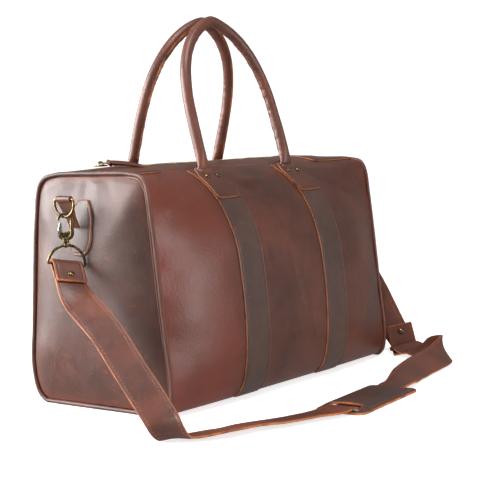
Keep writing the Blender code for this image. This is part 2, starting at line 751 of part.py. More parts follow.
def straps():
    along = ADJUSTER_ALONG
    towards = (ADJUSTER_A - ADJUSTER_B).normalized()
    end = bar_loop(ADJUSTER_B, along, towards, 0.022, 0.006)
    ribbon("long_strap", strap_left() + strap_right() + end, STRAP)
    ribbon("short_strap", short_strap_stations(), STRAP)
    half = along * 0.0212
    corner = towards * 0.0015
    points = []
    for bar, side, inward in ((ADJUSTER_A, 1, -1), (ADJUSTER_A, -1, -1), (ADJUSTER_B, -1, 1),
                              (ADJUSTER_B, 1, 1)):
        bend = [bar + half * side + corner * inward, bar + half * side * 0.95]
        points += bend if side == -inward else bend[::-1]
    wire("adjuster_ring", points, RING_WIRE, METAL, cyclic=True)


def strap_rivets():
    """Caps through the folded strap ends."""
    face = WRAP + STRAP_LEATHER / 2 + 0.0005
    out = -ADJUSTER_ALONG.cross(SHORT_HEADING).normalized()
    up = Vector((0, 0, 1))
    places = (("left_strap_rivet", Vector((-HARDWARE_X, 0, RING_Z)) + LEAVE * 0.024,
               LEAVE.cross(LEFT_BAR)),
              ("right_strap_rivet", Vector((HARDWARE_X, 0, RING_Z)) - up * 0.016,
               up.cross(RIGHT_BAR)),
              ("adjuster_rivet", ADJUSTER_A - SHORT_HEADING * 0.021, out))
    for name, centre, aim in places:
        cap = add_object(name, rivet_mesh(RIVET_RADIUS), METAL)
        cap.location = centre + aim * face
        cap.rotation_mode = "QUATERNION"
        cap.rotation_quaternion = aim.to_track_quat("Z", "Y")


def shoulder_pad():
    """Leather pad with two slots: the strap runs over its ends and under its middle."""
    slot_out = SLOT_X + SLOT_HALF_LENGTH
    slot_in = SLOT_X - SLOT_HALF_LENGTH
    half = (0, 0.030, slot_in, slot_out, 0.0775, PAD_HALF_LENGTH)
    xs = [-x for x in half[:0:-1]] + list(half)
    half = (0, SLOT_HALF_WIDTH, 0.029, PAD_HALF_WIDTH)
    ys = [-y for y in half[:0:-1]] + list(half)

    def place(x, y):
        ends = min(max((slot_out - abs(x)) / (2 * SLOT_HALF_LENGTH), 0), 1)
        crown = 1 - (y / PAD_HALF_WIDTH) ** 4
        corner = 0.82 if abs(x) == PAD_HALF_LENGTH else 1
        return Vector((x, y * corner, PAD_LEATHER + 0.0003 + 0.0056 * ends * crown))

    def keep(column, row):
        return column not in (2, 7) or row not in (2, 3)

    def outward(point):
        return Vector((0, 0, 1))

    pad = shell("shoulder_pad", mapped_grid(xs, ys, place, keep), PAD_LEATHER, outward, STRAP)
    pad.location = PAD_CENTRE
    pad.rotation_euler = (0, 0, PAD_TURN)


SIDES = ((-1, "left"), (1, "right"))
clear_scene()
PARTS = collection("duffel_bag")
CUTTERS = collection("cutters")
LEATHER = material("leather", BROWN, 0.42)
BAND = material("band_leather", DARK_BROWN, 0.50)
STRAP = material("strap_leather", BROWN, 0.48)
CLOTH = material("lining_cloth", CANVAS, 0.85)
STIFFENER = material("board", BOARD, 0.80)
ROPE = material("rope", CANVAS, 0.90)
METAL = material("antique_brass", BRASS, 0.35, 1.0)
body_wrap()
lining()
end_panels()
base_board()
bands_and_tabs()
handles()
mouth_flaps()
zip_ends()
zip_slider()
chapes()
d_rings()
snap_hooks()
strap_rings()
straps()
strap_rivets()
shoulder_pad()
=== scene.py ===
"""Looks for a leather duffel bag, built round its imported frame."""
import math

import bpy
import numpy as np
from mathutils import Matrix, Vector
from mathutils.kdtree import KDTree


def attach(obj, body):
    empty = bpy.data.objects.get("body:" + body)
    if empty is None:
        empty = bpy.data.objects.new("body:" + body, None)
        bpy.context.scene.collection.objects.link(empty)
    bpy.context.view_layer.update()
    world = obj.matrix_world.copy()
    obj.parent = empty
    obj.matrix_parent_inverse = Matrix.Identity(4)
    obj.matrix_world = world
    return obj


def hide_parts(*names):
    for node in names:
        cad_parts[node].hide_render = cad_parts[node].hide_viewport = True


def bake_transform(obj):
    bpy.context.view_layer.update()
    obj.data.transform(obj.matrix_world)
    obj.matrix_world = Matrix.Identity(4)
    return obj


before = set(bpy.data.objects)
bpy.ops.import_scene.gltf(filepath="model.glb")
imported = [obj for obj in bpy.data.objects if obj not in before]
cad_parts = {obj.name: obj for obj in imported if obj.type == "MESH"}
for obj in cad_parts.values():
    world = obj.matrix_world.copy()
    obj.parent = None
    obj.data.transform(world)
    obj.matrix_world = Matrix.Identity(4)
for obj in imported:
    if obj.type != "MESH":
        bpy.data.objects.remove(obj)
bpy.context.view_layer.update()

# Sizes shared with the CAD parts, in metres
HALF_LENGTH = 0.250
FLAT_HALF = 0.120
SKIN = 0.0020
GAP = 0.0003
BAND_LEATHER = 0.0018
TOP = 11
PANEL_MIDDLE = 0.150
PILLOW = 0.0235
BAND_X = 0.0943
BAND_SHIFT = -0.004
BAND_WIDTH = 0.0515
HARDWARE_X = 0.298
BAR_Z = 0.270
D_RADIUS = 0.016
D_CENTRE_Z = 0.264
D_WIRE = 0.0017
HOOK_HALF = 0.0082
HOOK_TOP = 0.2440
HOOK_FOOT = 0.2290
RING_Z = 0.1897
RING_RADIUS = 0.0236
RING_WIRE = 0.0015
SLIDER = Vector((-0.230, 0, 0.3068))
PULL_TURN = math.radians(-33.5)
PULL_DROOP = math.radians(3)
LINK_LENGTH = 0.0125
STRAP_WIDTH = 0.038
STRAP_LEATHER = 0.0034
STRAP_SEW = 0.0038
STRAP_STEP = 0.0024            # spacing of the rows along a strap
WRAP = 0.00375
FOLD_LENGTH = 0.032
UNROLLED = 10
FOLD_LIFT = 0.0032
FLOOR_LIFT = 0.0022
LEFT_BAR = Vector((0.865, -0.475, -0.163)).normalized()
RIGHT_BAR = Vector((0.6, -0.8, 0))
LEAVE = Vector((-0.4852, -0.7069, -0.5146)).normalized()
DROP = Vector((-0.122, -0.706, -0.698)).normalized()
DROP_FACE = Vector((-0.720, -0.353, 0.597))
ADJUSTER_A = Vector((0.2943, -0.1326, 0.0104))
ADJUSTER_B = Vector((0.2785, -0.1433, 0.0102))
ADJUSTER_ALONG = Vector((0.560, -0.803, 0.204))
SHORT_HEADING = Vector((-0.052, -0.277, -0.959))
PAD_CENTRE = Vector((-0.044, -0.2725, 0))
PAD_TURN = math.radians(5)
PAD_HALF_LENGTH = 0.083
PAD_HALF_WIDTH = 0.034
PAD_LEATHER = 0.0032
SLOT_X = 0.0635
SLOT_HALF_LENGTH = 0.0070
SLOT_HALF_WIDTH = 0.0215
HANDLE_STEP = 0.0016           # spacing of the rows along a handle
SEW = 0.0034                   # stitch line to edge
EDGE_BULGE = 0.22              # how far a cut edge stands out, as a share of its thickness
RUB_WIDTH = 0.0016             # fall of the rubbed colour in from an edge
MOST_RUBBED = 26000            # larger grids have no edge on show

MID_SECTION = np.array(((0, 0), (0.055, 0), (0.104, 0), (0.130, 0.016), (0.1415, 0.055), (0.1435, 0.105),
                        (0.1385, 0.155), (0.128, 0.205), (0.1075, 0.250), (0.079, 0.280),
                        (0.045, 0.2985), (0, 0.306)))
END_SECTION = np.array(((0, 0), (0.050, 0), (0.096, 0), (0.1185, 0.009), (0.1230, 0.042), (0.1170, 0.095),
                        (0.1112, 0.145), (0.1060, 0.195), (0.1003, 0.243), (0.0920, 0.2880),
                        (0.066, 0.2985), (0, 0.2990)))
REAR_END_SECTION = np.array(((0, 0), (0.045, 0), (0.080, 0), (0.103, 0.014), (0.1115, 0.048),
                             (0.1085, 0.095), (0.1045, 0.145), (0.1005, 0.195), (0.0955, 0.243),
                             (0.0870, 0.2840), (0.062, 0.2970), (0, 0.2990)))
SIDES = ((-1, "left"), (1, "right"))
FACES = ((1, "front"), (-1, "rear"))


# Numbers ------------------------------------------------------------------------------------------

def unit(v):
    return v / np.maximum(np.linalg.norm(v, axis=-1, keepdims=True), 1e-12)


def hashed(cell, seed):
    """Repeatable numbers from -1 to 1, one for each whole-number cell."""
    mixed = cell[..., 0] * 374761393 + cell[..., 1] * 668265263 + cell[..., 2] * 1440662683
    mixed = (mixed + seed * 1274126177) & 0xFFFFFFFF
    mixed = ((mixed ^ (mixed >> 13)) * 1274126177) & 0xFFFFFFFF
    return (mixed ^ (mixed >> 16)) / 0x7FFFFFFF - 1


def noise(p, size, seed):
    """Smooth lattice noise with features of about `size` metres."""
    q = np.asarray(p) / size
    cell = np.floor(q).astype(np.int64)
    f = q - cell
    f = f * f * (3 - 2 * f)
    total = 0
    for corner in np.ndindex(2, 2, 2):
        weight = np.prod([f[..., k] if corner[k] else 1 - f[..., k] for k in range(3)], axis=0)
        total = total + weight * hashed(cell + np.array(corner), seed)
    return total


def ridges(p, size, seed):
    """Sharp creases: 1 along thin lines, 0 away from them."""
    return np.clip(1 - 3.2 * np.abs(noise(p, size, seed)), 0, 1) ** 2


def bell(x, width):
    return np.exp(-(x / width) ** 2)


def lines(*spans):
    """Grid positions from (start, end, count) spans laid end to end."""
    values = [np.linspace(a, b, n, endpoint=False) for a, b, n in spans]
    return np.concatenate([*values, [spans[-1][1]]])


def across_lines(width, sew=SEW):
    """Positions over a strip of leather, close together at its rounded edges and its stitch grooves."""
    half = width / 2
    edge = np.array([0, 0.0005, 0.0012, 0.0022, sew - 0.0007, sew, sew + 0.0007, sew + 0.0022])
    middle = np.linspace(-half + sew + 0.006, half - sew - 0.006, max(3, int(width / 0.006)))
    return np.concatenate([-half + edge, middle, (half - edge)[::-1]])


def edge_profile(d, sew=SEW):
    """Height lost at distance d from a leather edge: a rounded lip and a stitch groove."""
    return -0.00050 * bell(d, 0.0008) - 0.00045 * bell(d - sew, 0.0007)


# Meshes -------------------------------------------------------------------------------------------

def outward(part):
    """Flips a closed part whose faces look inwards."""
    v = part["v"]
    volume = 0.0
    for group in (part["quads"], part["tris"]):
        if len(group):
            a = v[group[:, 0]]
            for k in range(1, group.shape[1] - 1):
                volume += np.einsum("ij,ij->i", a, np.cross(v[group[:, k]], v[group[:, k + 1]])).sum()
    if volume < 0:
        part["quads"] = part["quads"][:, ::-1]
        part["tris"] = part["tris"][:, ::-1]
    return part


def make_part(v, quads=(), tris=(), quad_finish=None, tri_finish=None, **layers):
    quads = np.array(quads, np.int64).reshape(-1, 4)
    tris = np.array(tris, np.int64).reshape(-1, 3)
    part = {"v": np.asarray(v, float), "quads": quads, "tris": tris}
    part["qf"] = np.zeros(len(quads), int) if quad_finish is None else np.asarray(quad_finish)
    part["tf"] = np.zeros(len(tris), int) if tri_finish is None else np.asarray(tri_finish)
    for key in ("rim", "tone"):
        value = layers.get(key)
        part[key] = np.zeros(len(part["v"])) if value is None else np.asarray(value, float)
    return outward(part)


def grid_quads(rows, columns, wrap=False):
    index = np.arange(rows * columns).reshape(rows, columns)
    if wrap:
        index = np.hstack([index, index[:, :1]])
    return np.stack([index[:-1, :-1], index[1:, :-1], index[1:, 1:], index[:-1, 1:]], -1).reshape(-1, 4)


def end_caps(sides, end, hub):
    """Fans that close a tube's two ends; its last row starts at `end`, the hubs come after it."""
    j = np.arange(sides)
    k = (j + 1) % sides
    fans = [hub + 0 * j, k, j], [hub + 1 + 0 * j, end + j, end + k]
    return np.concatenate([np.stack(fan, 1) for fan in fans])


def slab(top, under, wrap=False, cap=False, keep=None, tone=None):
    """Closed sheet of leather between two grids of points, with a rounded raw edge all round."""
    rows, columns = top.shape[:2]
    count = rows * columns
    quads = grid_quads(rows, columns, wrap)
    if keep is not None:
        quads = quads[keep.reshape(-1)]
    directed = quads[:, [0, 1, 1, 2, 2, 3, 3, 0]].reshape(-1, 2)
    border = directed[~np.isin(directed @ (count, 1), directed @ (1, count))]
    if cap:
        border = border[border.min(axis=1) >= columns]
    high, low = top.reshape(-1, 3), under.reshape(-1, 3)
    centres = high[quads].mean(axis=1)
    sums, shares = np.zeros((count, 3)), np.zeros((count, 1))
    for k in range(4):
        np.add.at(sums, quads[:, k], centres)
        np.add.at(shares, quads[:, k], 1)
    rim = np.unique(border)
    thick = high[rim] - low[rim]
    out = high[rim] - sums[rim] / shares[rim]
    out -= unit(thick) * np.sum(out * unit(thick), axis=1, keepdims=True)
    depth = np.linalg.norm(thick, axis=1, keepdims=True)
    middle = (high[rim] + low[rim]) / 2 + unit(out) * EDGE_BULGE * depth
    slot = np.zeros(count, np.int64)
    slot[rim] = np.arange(len(rim)) + 2 * count
    a, b = border.T
    walls = np.concatenate([np.stack([b, a, slot[a], slot[b]], 1),
                            np.stack([slot[b], slot[a], a + count, b + count], 1)])
    all_quads = np.concatenate([quads, quads[:, ::-1] + count, walls])
    vertices = np.concatenate([high, low, middle])
    tris = np.zeros((0, 3), np.int64)
    if cap:
        tris = end_caps(columns, count, len(vertices))[:, ::-1]
        vertices = np.concatenate([vertices, [high[:columns].mean(axis=0), low[:columns].mean(axis=0)]])
    lightening = np.zeros(count)
    if count < MOST_RUBBED:
        tree = KDTree(len(rim))
        for i, point in enumerate(high[rim]):
            tree.insert(point, i)
        tree.balance()
        lightening = np.exp([-tree.find(point)[2] / RUB_WIDTH for point in high])
    extra = np.full(len(vertices) - 2 * count, 0.0 if cap else 1.0)
    flat = np.zeros(count) if tone is None else tone.reshape(-1)
    used, index = np.unique(np.concatenate([all_quads.reshape(-1), tris.reshape(-1)]), return_inverse=True)
    quad_index, tri_index = np.split(index.reshape(-1), [all_quads.size])
    return make_part(vertices[used], quad_index, tri_index,
                     np.repeat([0, 2, 1], [len(quads), len(quads), len(walls)]),
                     np.repeat([0, 2], len(tris) // 2),
                     rim=np.concatenate([lightening, lightening, extra])[used],
                     tone=np.concatenate([flat, flat, 0 * extra])[used])


def frames(path, up, cyclic=False):
    """Tangent, and two directions square to it, the first as near to `up` as it can be."""
    path = np.asarray(path, float)
    if cyclic:
        tangent = unit(np.roll(path, -1, 0) - np.roll(path, 1, 0))
    else:
        tangent = unit(np.gradient(path, axis=0))
    up = np.broadcast_to(np.asarray(up, float), path.shape)
    first = unit(up - tangent * np.sum(up * tangent, axis=1, keepdims=True))
    return tangent, first, np.cross(tangent, first)


def sweep(path, up, wide, deep=None, sides=14, cyclic=False, power=1.0, finish=0, relief=None, tone=None):
    """Solid bar along a path; wide is its half size towards `up`, deep its half size the other way."""
    path = np.asarray(path, float)
    _, first, second = frames(path, up, cyclic)
    turn = np.arange(sides) * 2 * math.pi / sides
    c = np.sign(np.cos(turn)) * np.abs(np.cos(turn)) ** power
    s = np.sign(np.sin(turn)) * np.abs(np.sin(turn)) ** power
    wide = np.broadcast_to(wide, len(path))[:, None, None]
    deep = wide if deep is None else np.broadcast_to(deep, len(path))[:, None, None]
    ring = first[:, None] * c[:, None] * wide + second[:, None] * s[:, None] * deep
    if relief is not None:
        ring = ring + unit(ring) * relief(path, turn, unit(ring))[..., None]
    v = (path[:, None] + ring).reshape(-1, 3)
    quads = grid_quads(len(path), sides, wrap=True)
    end = len(v) - sides
    tris = ()
    if cyclic:
        low = np.arange(sides)
        joint = np.stack([low + end, low, np.roll(low, -1), np.roll(low, -1) + end], 1)
        quads = np.concatenate([quads, joint])
    else:
        tris = end_caps(sides, end, len(v))
        v = np.concatenate([v, path[:1], path[-1:]])
    layer = None
    if tone is not None:
        layer = np.zeros(len(v))
        layer[:end + sides] = tone(path, turn).reshape(-1)
    return make_part(v, quads, tris, np.full(len(quads), finish), np.full(len(tris), finish), tone=layer)


def lathe(profile, sides=24):
    """Turned solid about Z from (radius, height) pairs, both ends on the axis."""
    profile = np.array(profile, float)
    turn = np.arange(sides) * 2 * math.pi / sides
    ring = np.stack([np.cos(turn), np.sin(turn), np.zeros(sides)], 1)
    body = profile[1:-1]
    v = (ring[None] * body[:, :1, None] + np.array([0, 0, 1]) * body[:, 1:, None]).reshape(-1, 3)
    tris = end_caps(sides, len(v) - sides, len(v))
    v = np.concatenate([v, [[0, 0, profile[0, 1]], [0, 0, profile[-1, 1]]]])
    return make_part(v, grid_quads(len(body), sides, wrap=True), tris)


def brick(size, centre, roundness):
    """Box with soft corners, made as a puffed cube grid."""
    n = 5
    a, b = np.meshgrid(np.linspace(-1, 1, n), np.linspace(-1, 1, n), indexing="ij")
    one = np.ones_like(a)
    sides = ((a, b, one), (b, a, -one), (one, a, b), (-one, b, a), (b, one, a), (a, -one, b))
    v = np.concatenate([np.stack(side, -1).reshape(-1, 3) for side in sides])
    quads = np.concatenate([grid_quads(n, n) + k * n * n for k in range(6)])
    half = np.array(size) / 2
    corner = min(size) / 2 * roundness
    inner = np.clip(v * half, -(half - corner), half - corner)
    away = v * half - inner
    v = inner + unit(away) * corner * (np.linalg.norm(away, axis=1, keepdims=True) > 1e-9)
    key = np.round(v * 1e7).astype(np.int64)
    _, first, same = np.unique(key, axis=0, return_index=True, return_inverse=True)
    return make_part(v[first] + np.array(centre), same.reshape(-1)[quads])


def add_object(name, data):
    item = bpy.data.objects.new(name, data)
    bpy.context.scene.collection.objects.link(item)
    return item


def moved(part, matrix):
    m = np.array(matrix)
    part["v"] = part["v"] @ m[:3, :3].T + m[:3, 3]
    return part


def make(name, parts, finishes, body, slot, *nodes, sharp=40):
    """One Blender object from mesh parts; it rides on a body and may stand for CAD nodes."""
    parts = parts if isinstance(parts, list) else [parts]
    starts = np.cumsum([0] + [len(part["v"]) for part in parts])
    faces, index = [], []
    for part, start in zip(parts, starts):
        faces += (part["quads"] + start).tolist() + (part["tris"] + start).tolist()
        index += part["qf"].tolist() + part["tf"].tolist()
    mesh = bpy.data.meshes.new(name)
    mesh.from_pydata(np.concatenate([part["v"] for part in parts]).tolist(), [], faces)
    for finish in finishes:
        mesh.materials.append(finish)
    mesh.polygons.foreach_set("material_index", index)
    mesh.polygons.foreach_set("use_smooth", [True] * len(faces))
    for key in ("rim", "tone"):
        values = np.concatenate([part[key] for part in parts])
        mesh.attributes.new(key, "FLOAT", "POINT").data.foreach_set("value", values.astype(np.float32))
    mesh.set_sharp_from_angle(angle=math.radians(sharp))
    mesh.update()
    item = add_object(name, mesh)
    if isinstance(body, str):
        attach(item, body)
    else:
        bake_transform(item)
    if nodes:
        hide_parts(*nodes)


def along(path, spacing):
    """Points and fractional indices at even spacing along a polyline."""
    path = np.asarray(path, float)
    lengths = np.concatenate([[0], np.cumsum(np.linalg.norm(np.diff(path, axis=0), axis=1))])
    count = max(int(lengths[-1] / spacing), 1)
    at = (np.arange(count) + 0.5) * lengths[-1] / count
    return np.interp(at, lengths, np.arange(len(path)))


def sample(values, at):
    values = np.asarray(values, float)
    low = np.minimum(at.astype(int), len(values) - 2)
    share = (at - low)[:, None]
    return values[low] * (1 - share) + values[low + 1] * share


def stitch_row(path, normal, pitch=0.0046, length=0.0035, radius=0.00042):
    """Row of sewn stitches along a line on leather, each a short arched bead of thread."""
    path = np.asarray(path, float)
    at = along(path, pitch)
    t = unit(sample(unit(np.gradient(path, axis=0)), at))
    n = unit(sample(np.broadcast_to(normal, path.shape), at))
    n = unit(n - t * np.sum(n * t, axis=1, keepdims=True))
    stations = np.array([-0.5, -0.36, 0, 0.36, 0.5])[:, None] * length
    height = np.array([-0.0005, 0.00005, 0.00022, 0.00005, -0.0005])[:, None]
    girth = np.array([0.55, 0.95, 1, 0.95, 0.55])[:, None] * radius
    turn = np.arange(6) * math.pi / 3
    local = np.stack([stations + 0 * turn, height + np.cos(turn) * girth * 0.8, np.sin(turn) * girth], -1)
    v = sample(path, at)[:, None] + local.reshape(-1, 3) @ np.stack([t, n, np.cross(t, n)], 1)
    caps = [(0, k + 1, k) for k in range(1, 5)] + [(24, 24 + k, 25 + k) for k in range(1, 5)]
    shift = (np.arange(len(at)) * 30)[:, None, None]
    return make_part(v.reshape(-1, 3), (grid_quads(5, 6, wrap=True)[None] + shift).reshape(-1, 4),
                     (np.array(caps)[None] + shift).reshape(-1, 3))


def uneven(tree, value, least, most):
    """Roughness that follows a noise between two limits."""
    inputs = {"Value": value, "From Min": 0.3, "From Max": 0.7, "To Min": least, "To Max": most}
    return node(tree, "ShaderNodeMapRange", inputs).outputs["Result"]


# Materials ----------------------------------------------------------------------------------------

def srgb(r, g, b):
    values = [c / 255 for c in (r, g, b)]
    return tuple(c / 12.92 if c <= 0.04045 else ((c + 0.055) / 1.055) ** 2.4 for c in values) + (1,)


def node(tree, kind, inputs=None, **settings):
    item = tree.nodes.new(kind)
    for key, value in settings.items():
        setattr(item, key, value)
    feed(item, inputs or {})
    return item


def feed(item, inputs):
    """Join sockets to a node's inputs, or set their values."""
    for key, value in inputs.items():
        if isinstance(value, bpy.types.NodeSocket):
            item.id_data.links.new(value, item.inputs[key])
        else:
            item.inputs[key].default_value = value


def mix(tree, factor, a, b, blend="MIX"):
    return node(tree, "ShaderNodeMix", {0: factor, 6: a, 7: b}, data_type="RGBA", blend_type=blend).outputs[2]


def ramp(tree, value, *stops):
    item = node(tree, "ShaderNodeValToRGB", {"Fac": value})
    band = item.color_ramp
    band.elements[0].position, band.elements[0].color = stops[0]
    band.elements[1].position, band.elements[1].color = stops[-1]
    for position, colour in stops[1:-1]:
        band.elements.new(position).color = colour
    return item.outputs["Color"]


def grey(value):
    return (value, value, value, 1)


def noise_node(tree, place, scale, detail=3.0, roughness=0.5, distortion=0.0):
    inputs = {"Vector": place, "Scale": scale, "Detail": detail, "Roughness": roughness,
              "Distortion": distortion}
    return node(tree, "ShaderNodeTexNoise", inputs).outputs["Fac"]


def stretched(tree, place, scale, turn=(0, 0, 0)):
    inputs = {"Vector": place, "Rotation": turn, "Scale": scale}
    return node(tree, "ShaderNodeMapping", inputs).outputs["Vector"]


def painted(tree, name):
    """A value painted on the mesh."""
    return node(tree, "ShaderNodeAttribute", attribute_name=name).outputs["Fac"]


def bumped(tree, height, distance, strength=1.0, normal=None):
    inputs = {"Height": height, "Distance": distance, "Strength": strength}
    if normal:
        inputs["Normal"] = normal
    return node(tree, "ShaderNodeBump", inputs).outputs["Normal"]


def blank(name):
    finish = bpy.data.materials.new(name)
    finish.use_nodes = True
    tree = finish.node_tree
    return finish, tree, tree.nodes["Principled BSDF"], node(tree, "ShaderNodeTexCoord").outputs["Object"]


def leather(name, dark, middle, light, lightening, low=0.34, high=0.52, creases=1.0, coat=0.10):
    """Oiled leather: clouded colour, pores, fine creases, faint scratches and rubbed edges."""
    finish, tree, shader, place = blank(name)
    cloud = noise_node(tree, place, 9.0, 4.0, 0.55, 0.3)
    mottle = noise_node(tree, place, 62.0, 6.0, 0.68, 0.4)
    colour = ramp(tree, cloud, (0.30, dark), (0.52, middle), (0.74, light))
    shade = ramp(tree, mottle, (0.30, grey(0.74)), (0.70, grey(1.20)))
    colour = mix(tree, 0.55, colour, shade, "MULTIPLY")
    # The tone layer mixes in the lighter colour: random tone and pull-up colour, and on the body also painted
    # light on the left front panel.
    colour = mix(tree, painted(tree, "tone"), colour, lightening)
    streak = noise_node(tree, stretched(tree, place, (30, 210, 120), (0.4, 0.9, 0.5)), 1.0, 3.0, 0.6, 1.2)
    fine = noise_node(tree, stretched(tree, place, (260, 40, 170), (0.9, 0.2, 0.3)), 1.0, 2.0, 0.6, 0.8)
    mark = ramp(tree, streak, (0.66, grey(0)), (0.74, grey(0.34)))
    mark = mix(tree, 1.0, mark, ramp(tree, fine, (0.60, grey(0)), (0.72, grey(0.25))), "ADD")
    colour = mix(tree, mark, colour, lightening)
    rubbed = node(tree, "ShaderNodeMath", {0: painted(tree, "rim"), 1: mottle}, operation="MULTIPLY")
    colour = mix(tree, rubbed.outputs[0], colour, lightening)
    pores = node(tree, "ShaderNodeTexVoronoi", {"Vector": place, "Scale": 760.0}, feature="F1")
    grain = noise_node(tree, place, 330.0, 4.0, 0.6)
    crease = noise_node(tree, stretched(tree, place, (1, 1.6, 0.8)), 34.0, 5.0, 0.62, 1.4)
    folds = ramp(tree, crease, (0.44, grey(1)), (0.50, grey(0.35)), (0.56, grey(1)))
    normal = bumped(tree, folds, 0.00030 * creases, 0.30)
    normal = bumped(tree, grain, 0.00040, 0.45, normal)
    normal = bumped(tree, pores.outputs["Distance"], 0.00030, 0.40, normal)
    feed(shader, {"Base Color": colour, "Roughness": uneven(tree, mottle, low, high), "Normal": normal,
                  "Coat Weight": coat, "Coat Roughness": 0.30})
    return finish


def raw_edge(name, dark, light):
    """Cut edge of leather: tan fibres, darker where it is burnished."""
    finish, tree, shader, place = blank(name)
    fibre = noise_node(tree, place, 520.0, 5.0, 0.7)
    cloud = noise_node(tree, place, 48.0, 3.0, 0.6)
    both = mix(tree, 0.60, fibre.node.outputs["Color"], cloud.node.outputs["Color"])
    value = node(tree, "ShaderNodeRGBToBW", {"Color": both}).outputs["Val"]
    feed(shader, {"Base Color": ramp(tree, value, (0.40, dark), (0.56, light)), "Roughness": 0.72,
                  "Normal": bumped(tree, fibre, 0.0005, 0.7)})
    return finish


def thread(name, dark, light):
    """Waxed thread: a fine twist in colour and height."""
    finish, tree, shader, place = blank(name)
    twist = node(tree, "ShaderNodeTexWave", {"Vector": place, "Scale": 620.0, "Distortion": 2.0},
                 bands_direction="DIAGONAL").outputs["Fac"]
    feed(shader, {"Base Color": ramp(tree, twist, (0.2, dark), (0.8, light)), "Roughness": 0.62,
                  "Normal": bumped(tree, twist, 0.0001, 0.6)})
    return finish


def metal(name, dark, light, low, high):
    """Antique plating: dark in patches, rubbed brighter in others, with fine hairlines."""
    finish, tree, shader, place = blank(name)
    cloud = noise_node(tree, place, 210.0, 5.0, 0.65, 0.4)
    hair = noise_node(tree, stretched(tree, place, (1400, 300, 500)), 1.0, 2.0, 0.5)
    feed(shader, {"Base Color": ramp(tree, cloud, (0.34, dark), (0.62, light)), "Metallic": 1.0,
                  "Roughness": uneven(tree, cloud, high, low), "Normal": bumped(tree, hair, 0.00006, 0.5)})
    return finish


def cloth(name, dark, light, threads=950.0):
    """Plain weave: two crossed waves for warp and weft, with slubs."""
    finish, tree, shader, place = blank(name)
    inputs = {"Vector": place, "Scale": threads / 3.1, "Distortion": 0.6, "Detail": 1.0}
    warp, weft = [node(tree, "ShaderNodeTexWave", inputs, bands_direction=way).outputs["Color"]
                  for way in ("X", "DIAGONAL")]
    weave = mix(tree, 0.5, warp, weft)
    slub = noise_node(tree, place, 120.0, 4.0, 0.6).node.outputs["Color"]
    colour = mix(tree, 0.4, ramp(tree, weave, (0.25, dark), (0.75, light)), slub, "OVERLAY")
    flat = node(tree, "ShaderNodeHueSaturation", {"Color": colour, "Saturation": 0.75}).outputs["Color"]
    height = node(tree, "ShaderNodeRGBToBW", {"Color": weave}).outputs["Val"]
    feed(shader, {"Base Color": flat, "Roughness": 0.85, "Sheen Weight": 0.15,
                  "Normal": bumped(tree, height, 0.0004, 0.6)})
    return finish


WORN = srgb(142, 72, 46)
# RED is the body's lighter tint: pull-up colour by the end seams and the base, and painted light on the left
# front panel.
RED = srgb(128, 50, 31)
BODY = leather("leather_body", srgb(66, 38, 30), srgb(84, 49, 38), srgb(100, 56, 42), RED, 0.30, 0.43)
PANEL = leather("leather_end", srgb(60, 37, 32), srgb(74, 46, 39), srgb(92, 55, 45), WORN, 0.42, 0.55)
BAND = leather("leather_band", srgb(64, 46, 40), srgb(78, 56, 48), srgb(90, 63, 53), WORN, 0.36, 0.50, 0.7)
TAB = leather("leather_tab", srgb(70, 41, 32), srgb(86, 51, 39), srgb(102, 59, 44), WORN)
HANDLE = leather("leather_handle", srgb(78, 46, 38), srgb(96, 58, 47), srgb(112, 67, 53), WORN, 0.32, 0.46)
STRAP = leather("leather_strap", srgb(72, 42, 34), srgb(90, 52, 42), srgb(108, 62, 47), WORN, 0.32, 0.46)
PAD = leather("leather_pad", srgb(54, 39, 33), srgb(70, 50, 43), srgb(84, 59, 49), WORN, 0.40, 0.56)
EDGE = raw_edge("raw_edge", srgb(96, 54, 34), srgb(196, 118, 66))
FLESH = raw_edge("flesh_side", srgb(140, 84, 54), srgb(178, 118, 82))
THREAD = thread("brown_thread", srgb(52, 33, 25), srgb(98, 62, 42))
TAN_THREAD = thread("tan_thread", srgb(110, 66, 40), srgb(158, 100, 60))
BRASS = metal("antique_brass", srgb(58, 48, 36), srgb(166, 142, 98), 0.20, 0.40)
STEEL = metal("gate_nickel", srgb(150, 148, 144), srgb(224, 220, 212), 0.14, 0.26)
TEETH = metal("zip_brass", srgb(112, 88, 50), srgb(206, 170, 104), 0.22, 0.36)
TAPE = cloth("zip_tape", srgb(42, 30, 26), srgb(66, 48, 40), 1300.0)
LINING = cloth("lining_cotton", srgb(128, 108, 84), srgb(172, 150, 122))
ROPE = cloth("rope_cotton", srgb(150, 130, 100), srgb(190, 170, 140))
BOARD = cloth("base_board", srgb(56, 52, 48), srgb(82, 78, 72))


# Skin of the bag ----------------------------------------------------------------------------------

def swell(x):
    beyond = (np.abs(x) - FLAT_HALF) / (HALF_LENGTH - FLAT_HALF)
    return 1 - np.clip(beyond, 0, 1) ** 2.2


def section(x, t):
    """Skin at station x; t runs 0 at the base, 11 at the top by the front, and on down the rear."""
    x, t = np.broadcast_arrays(np.asarray(x, float), np.asarray(t, float))
    t = (t + TOP) % (2 * TOP) - TOP
    s = np.abs(t)
    blend = swell(x)[..., None, None]
    ends = np.where((t >= 0)[..., None, None], END_SECTION, REAR_END_SECTION)
    half = ends + (MID_SECTION - ends) * blend
    mirror = np.array([-1, 1])
    points = np.concatenate([half[..., 1:2, :] * mirror, half, half[..., -2:-1, :] * mirror], axis=-2)
    i = np.minimum(s.astype(int), TOP - 1)
    u = (s - i)[..., None]
    a, b, c, d = [np.take_along_axis(points, (i + k)[..., None, None], axis=-2)[..., 0, :] for k in range(4)]
    p = 0.5 * (2 * b + (c - a) * u + (2 * a - 5 * b + 4 * c - d) * u ** 2
               + (3 * b - a - 3 * c + d) * u ** 3)
    return np.stack([x, np.where(t >= 0, -p[..., 0], p[..., 0]), np.maximum(p[..., 1], 0)], axis=-1)


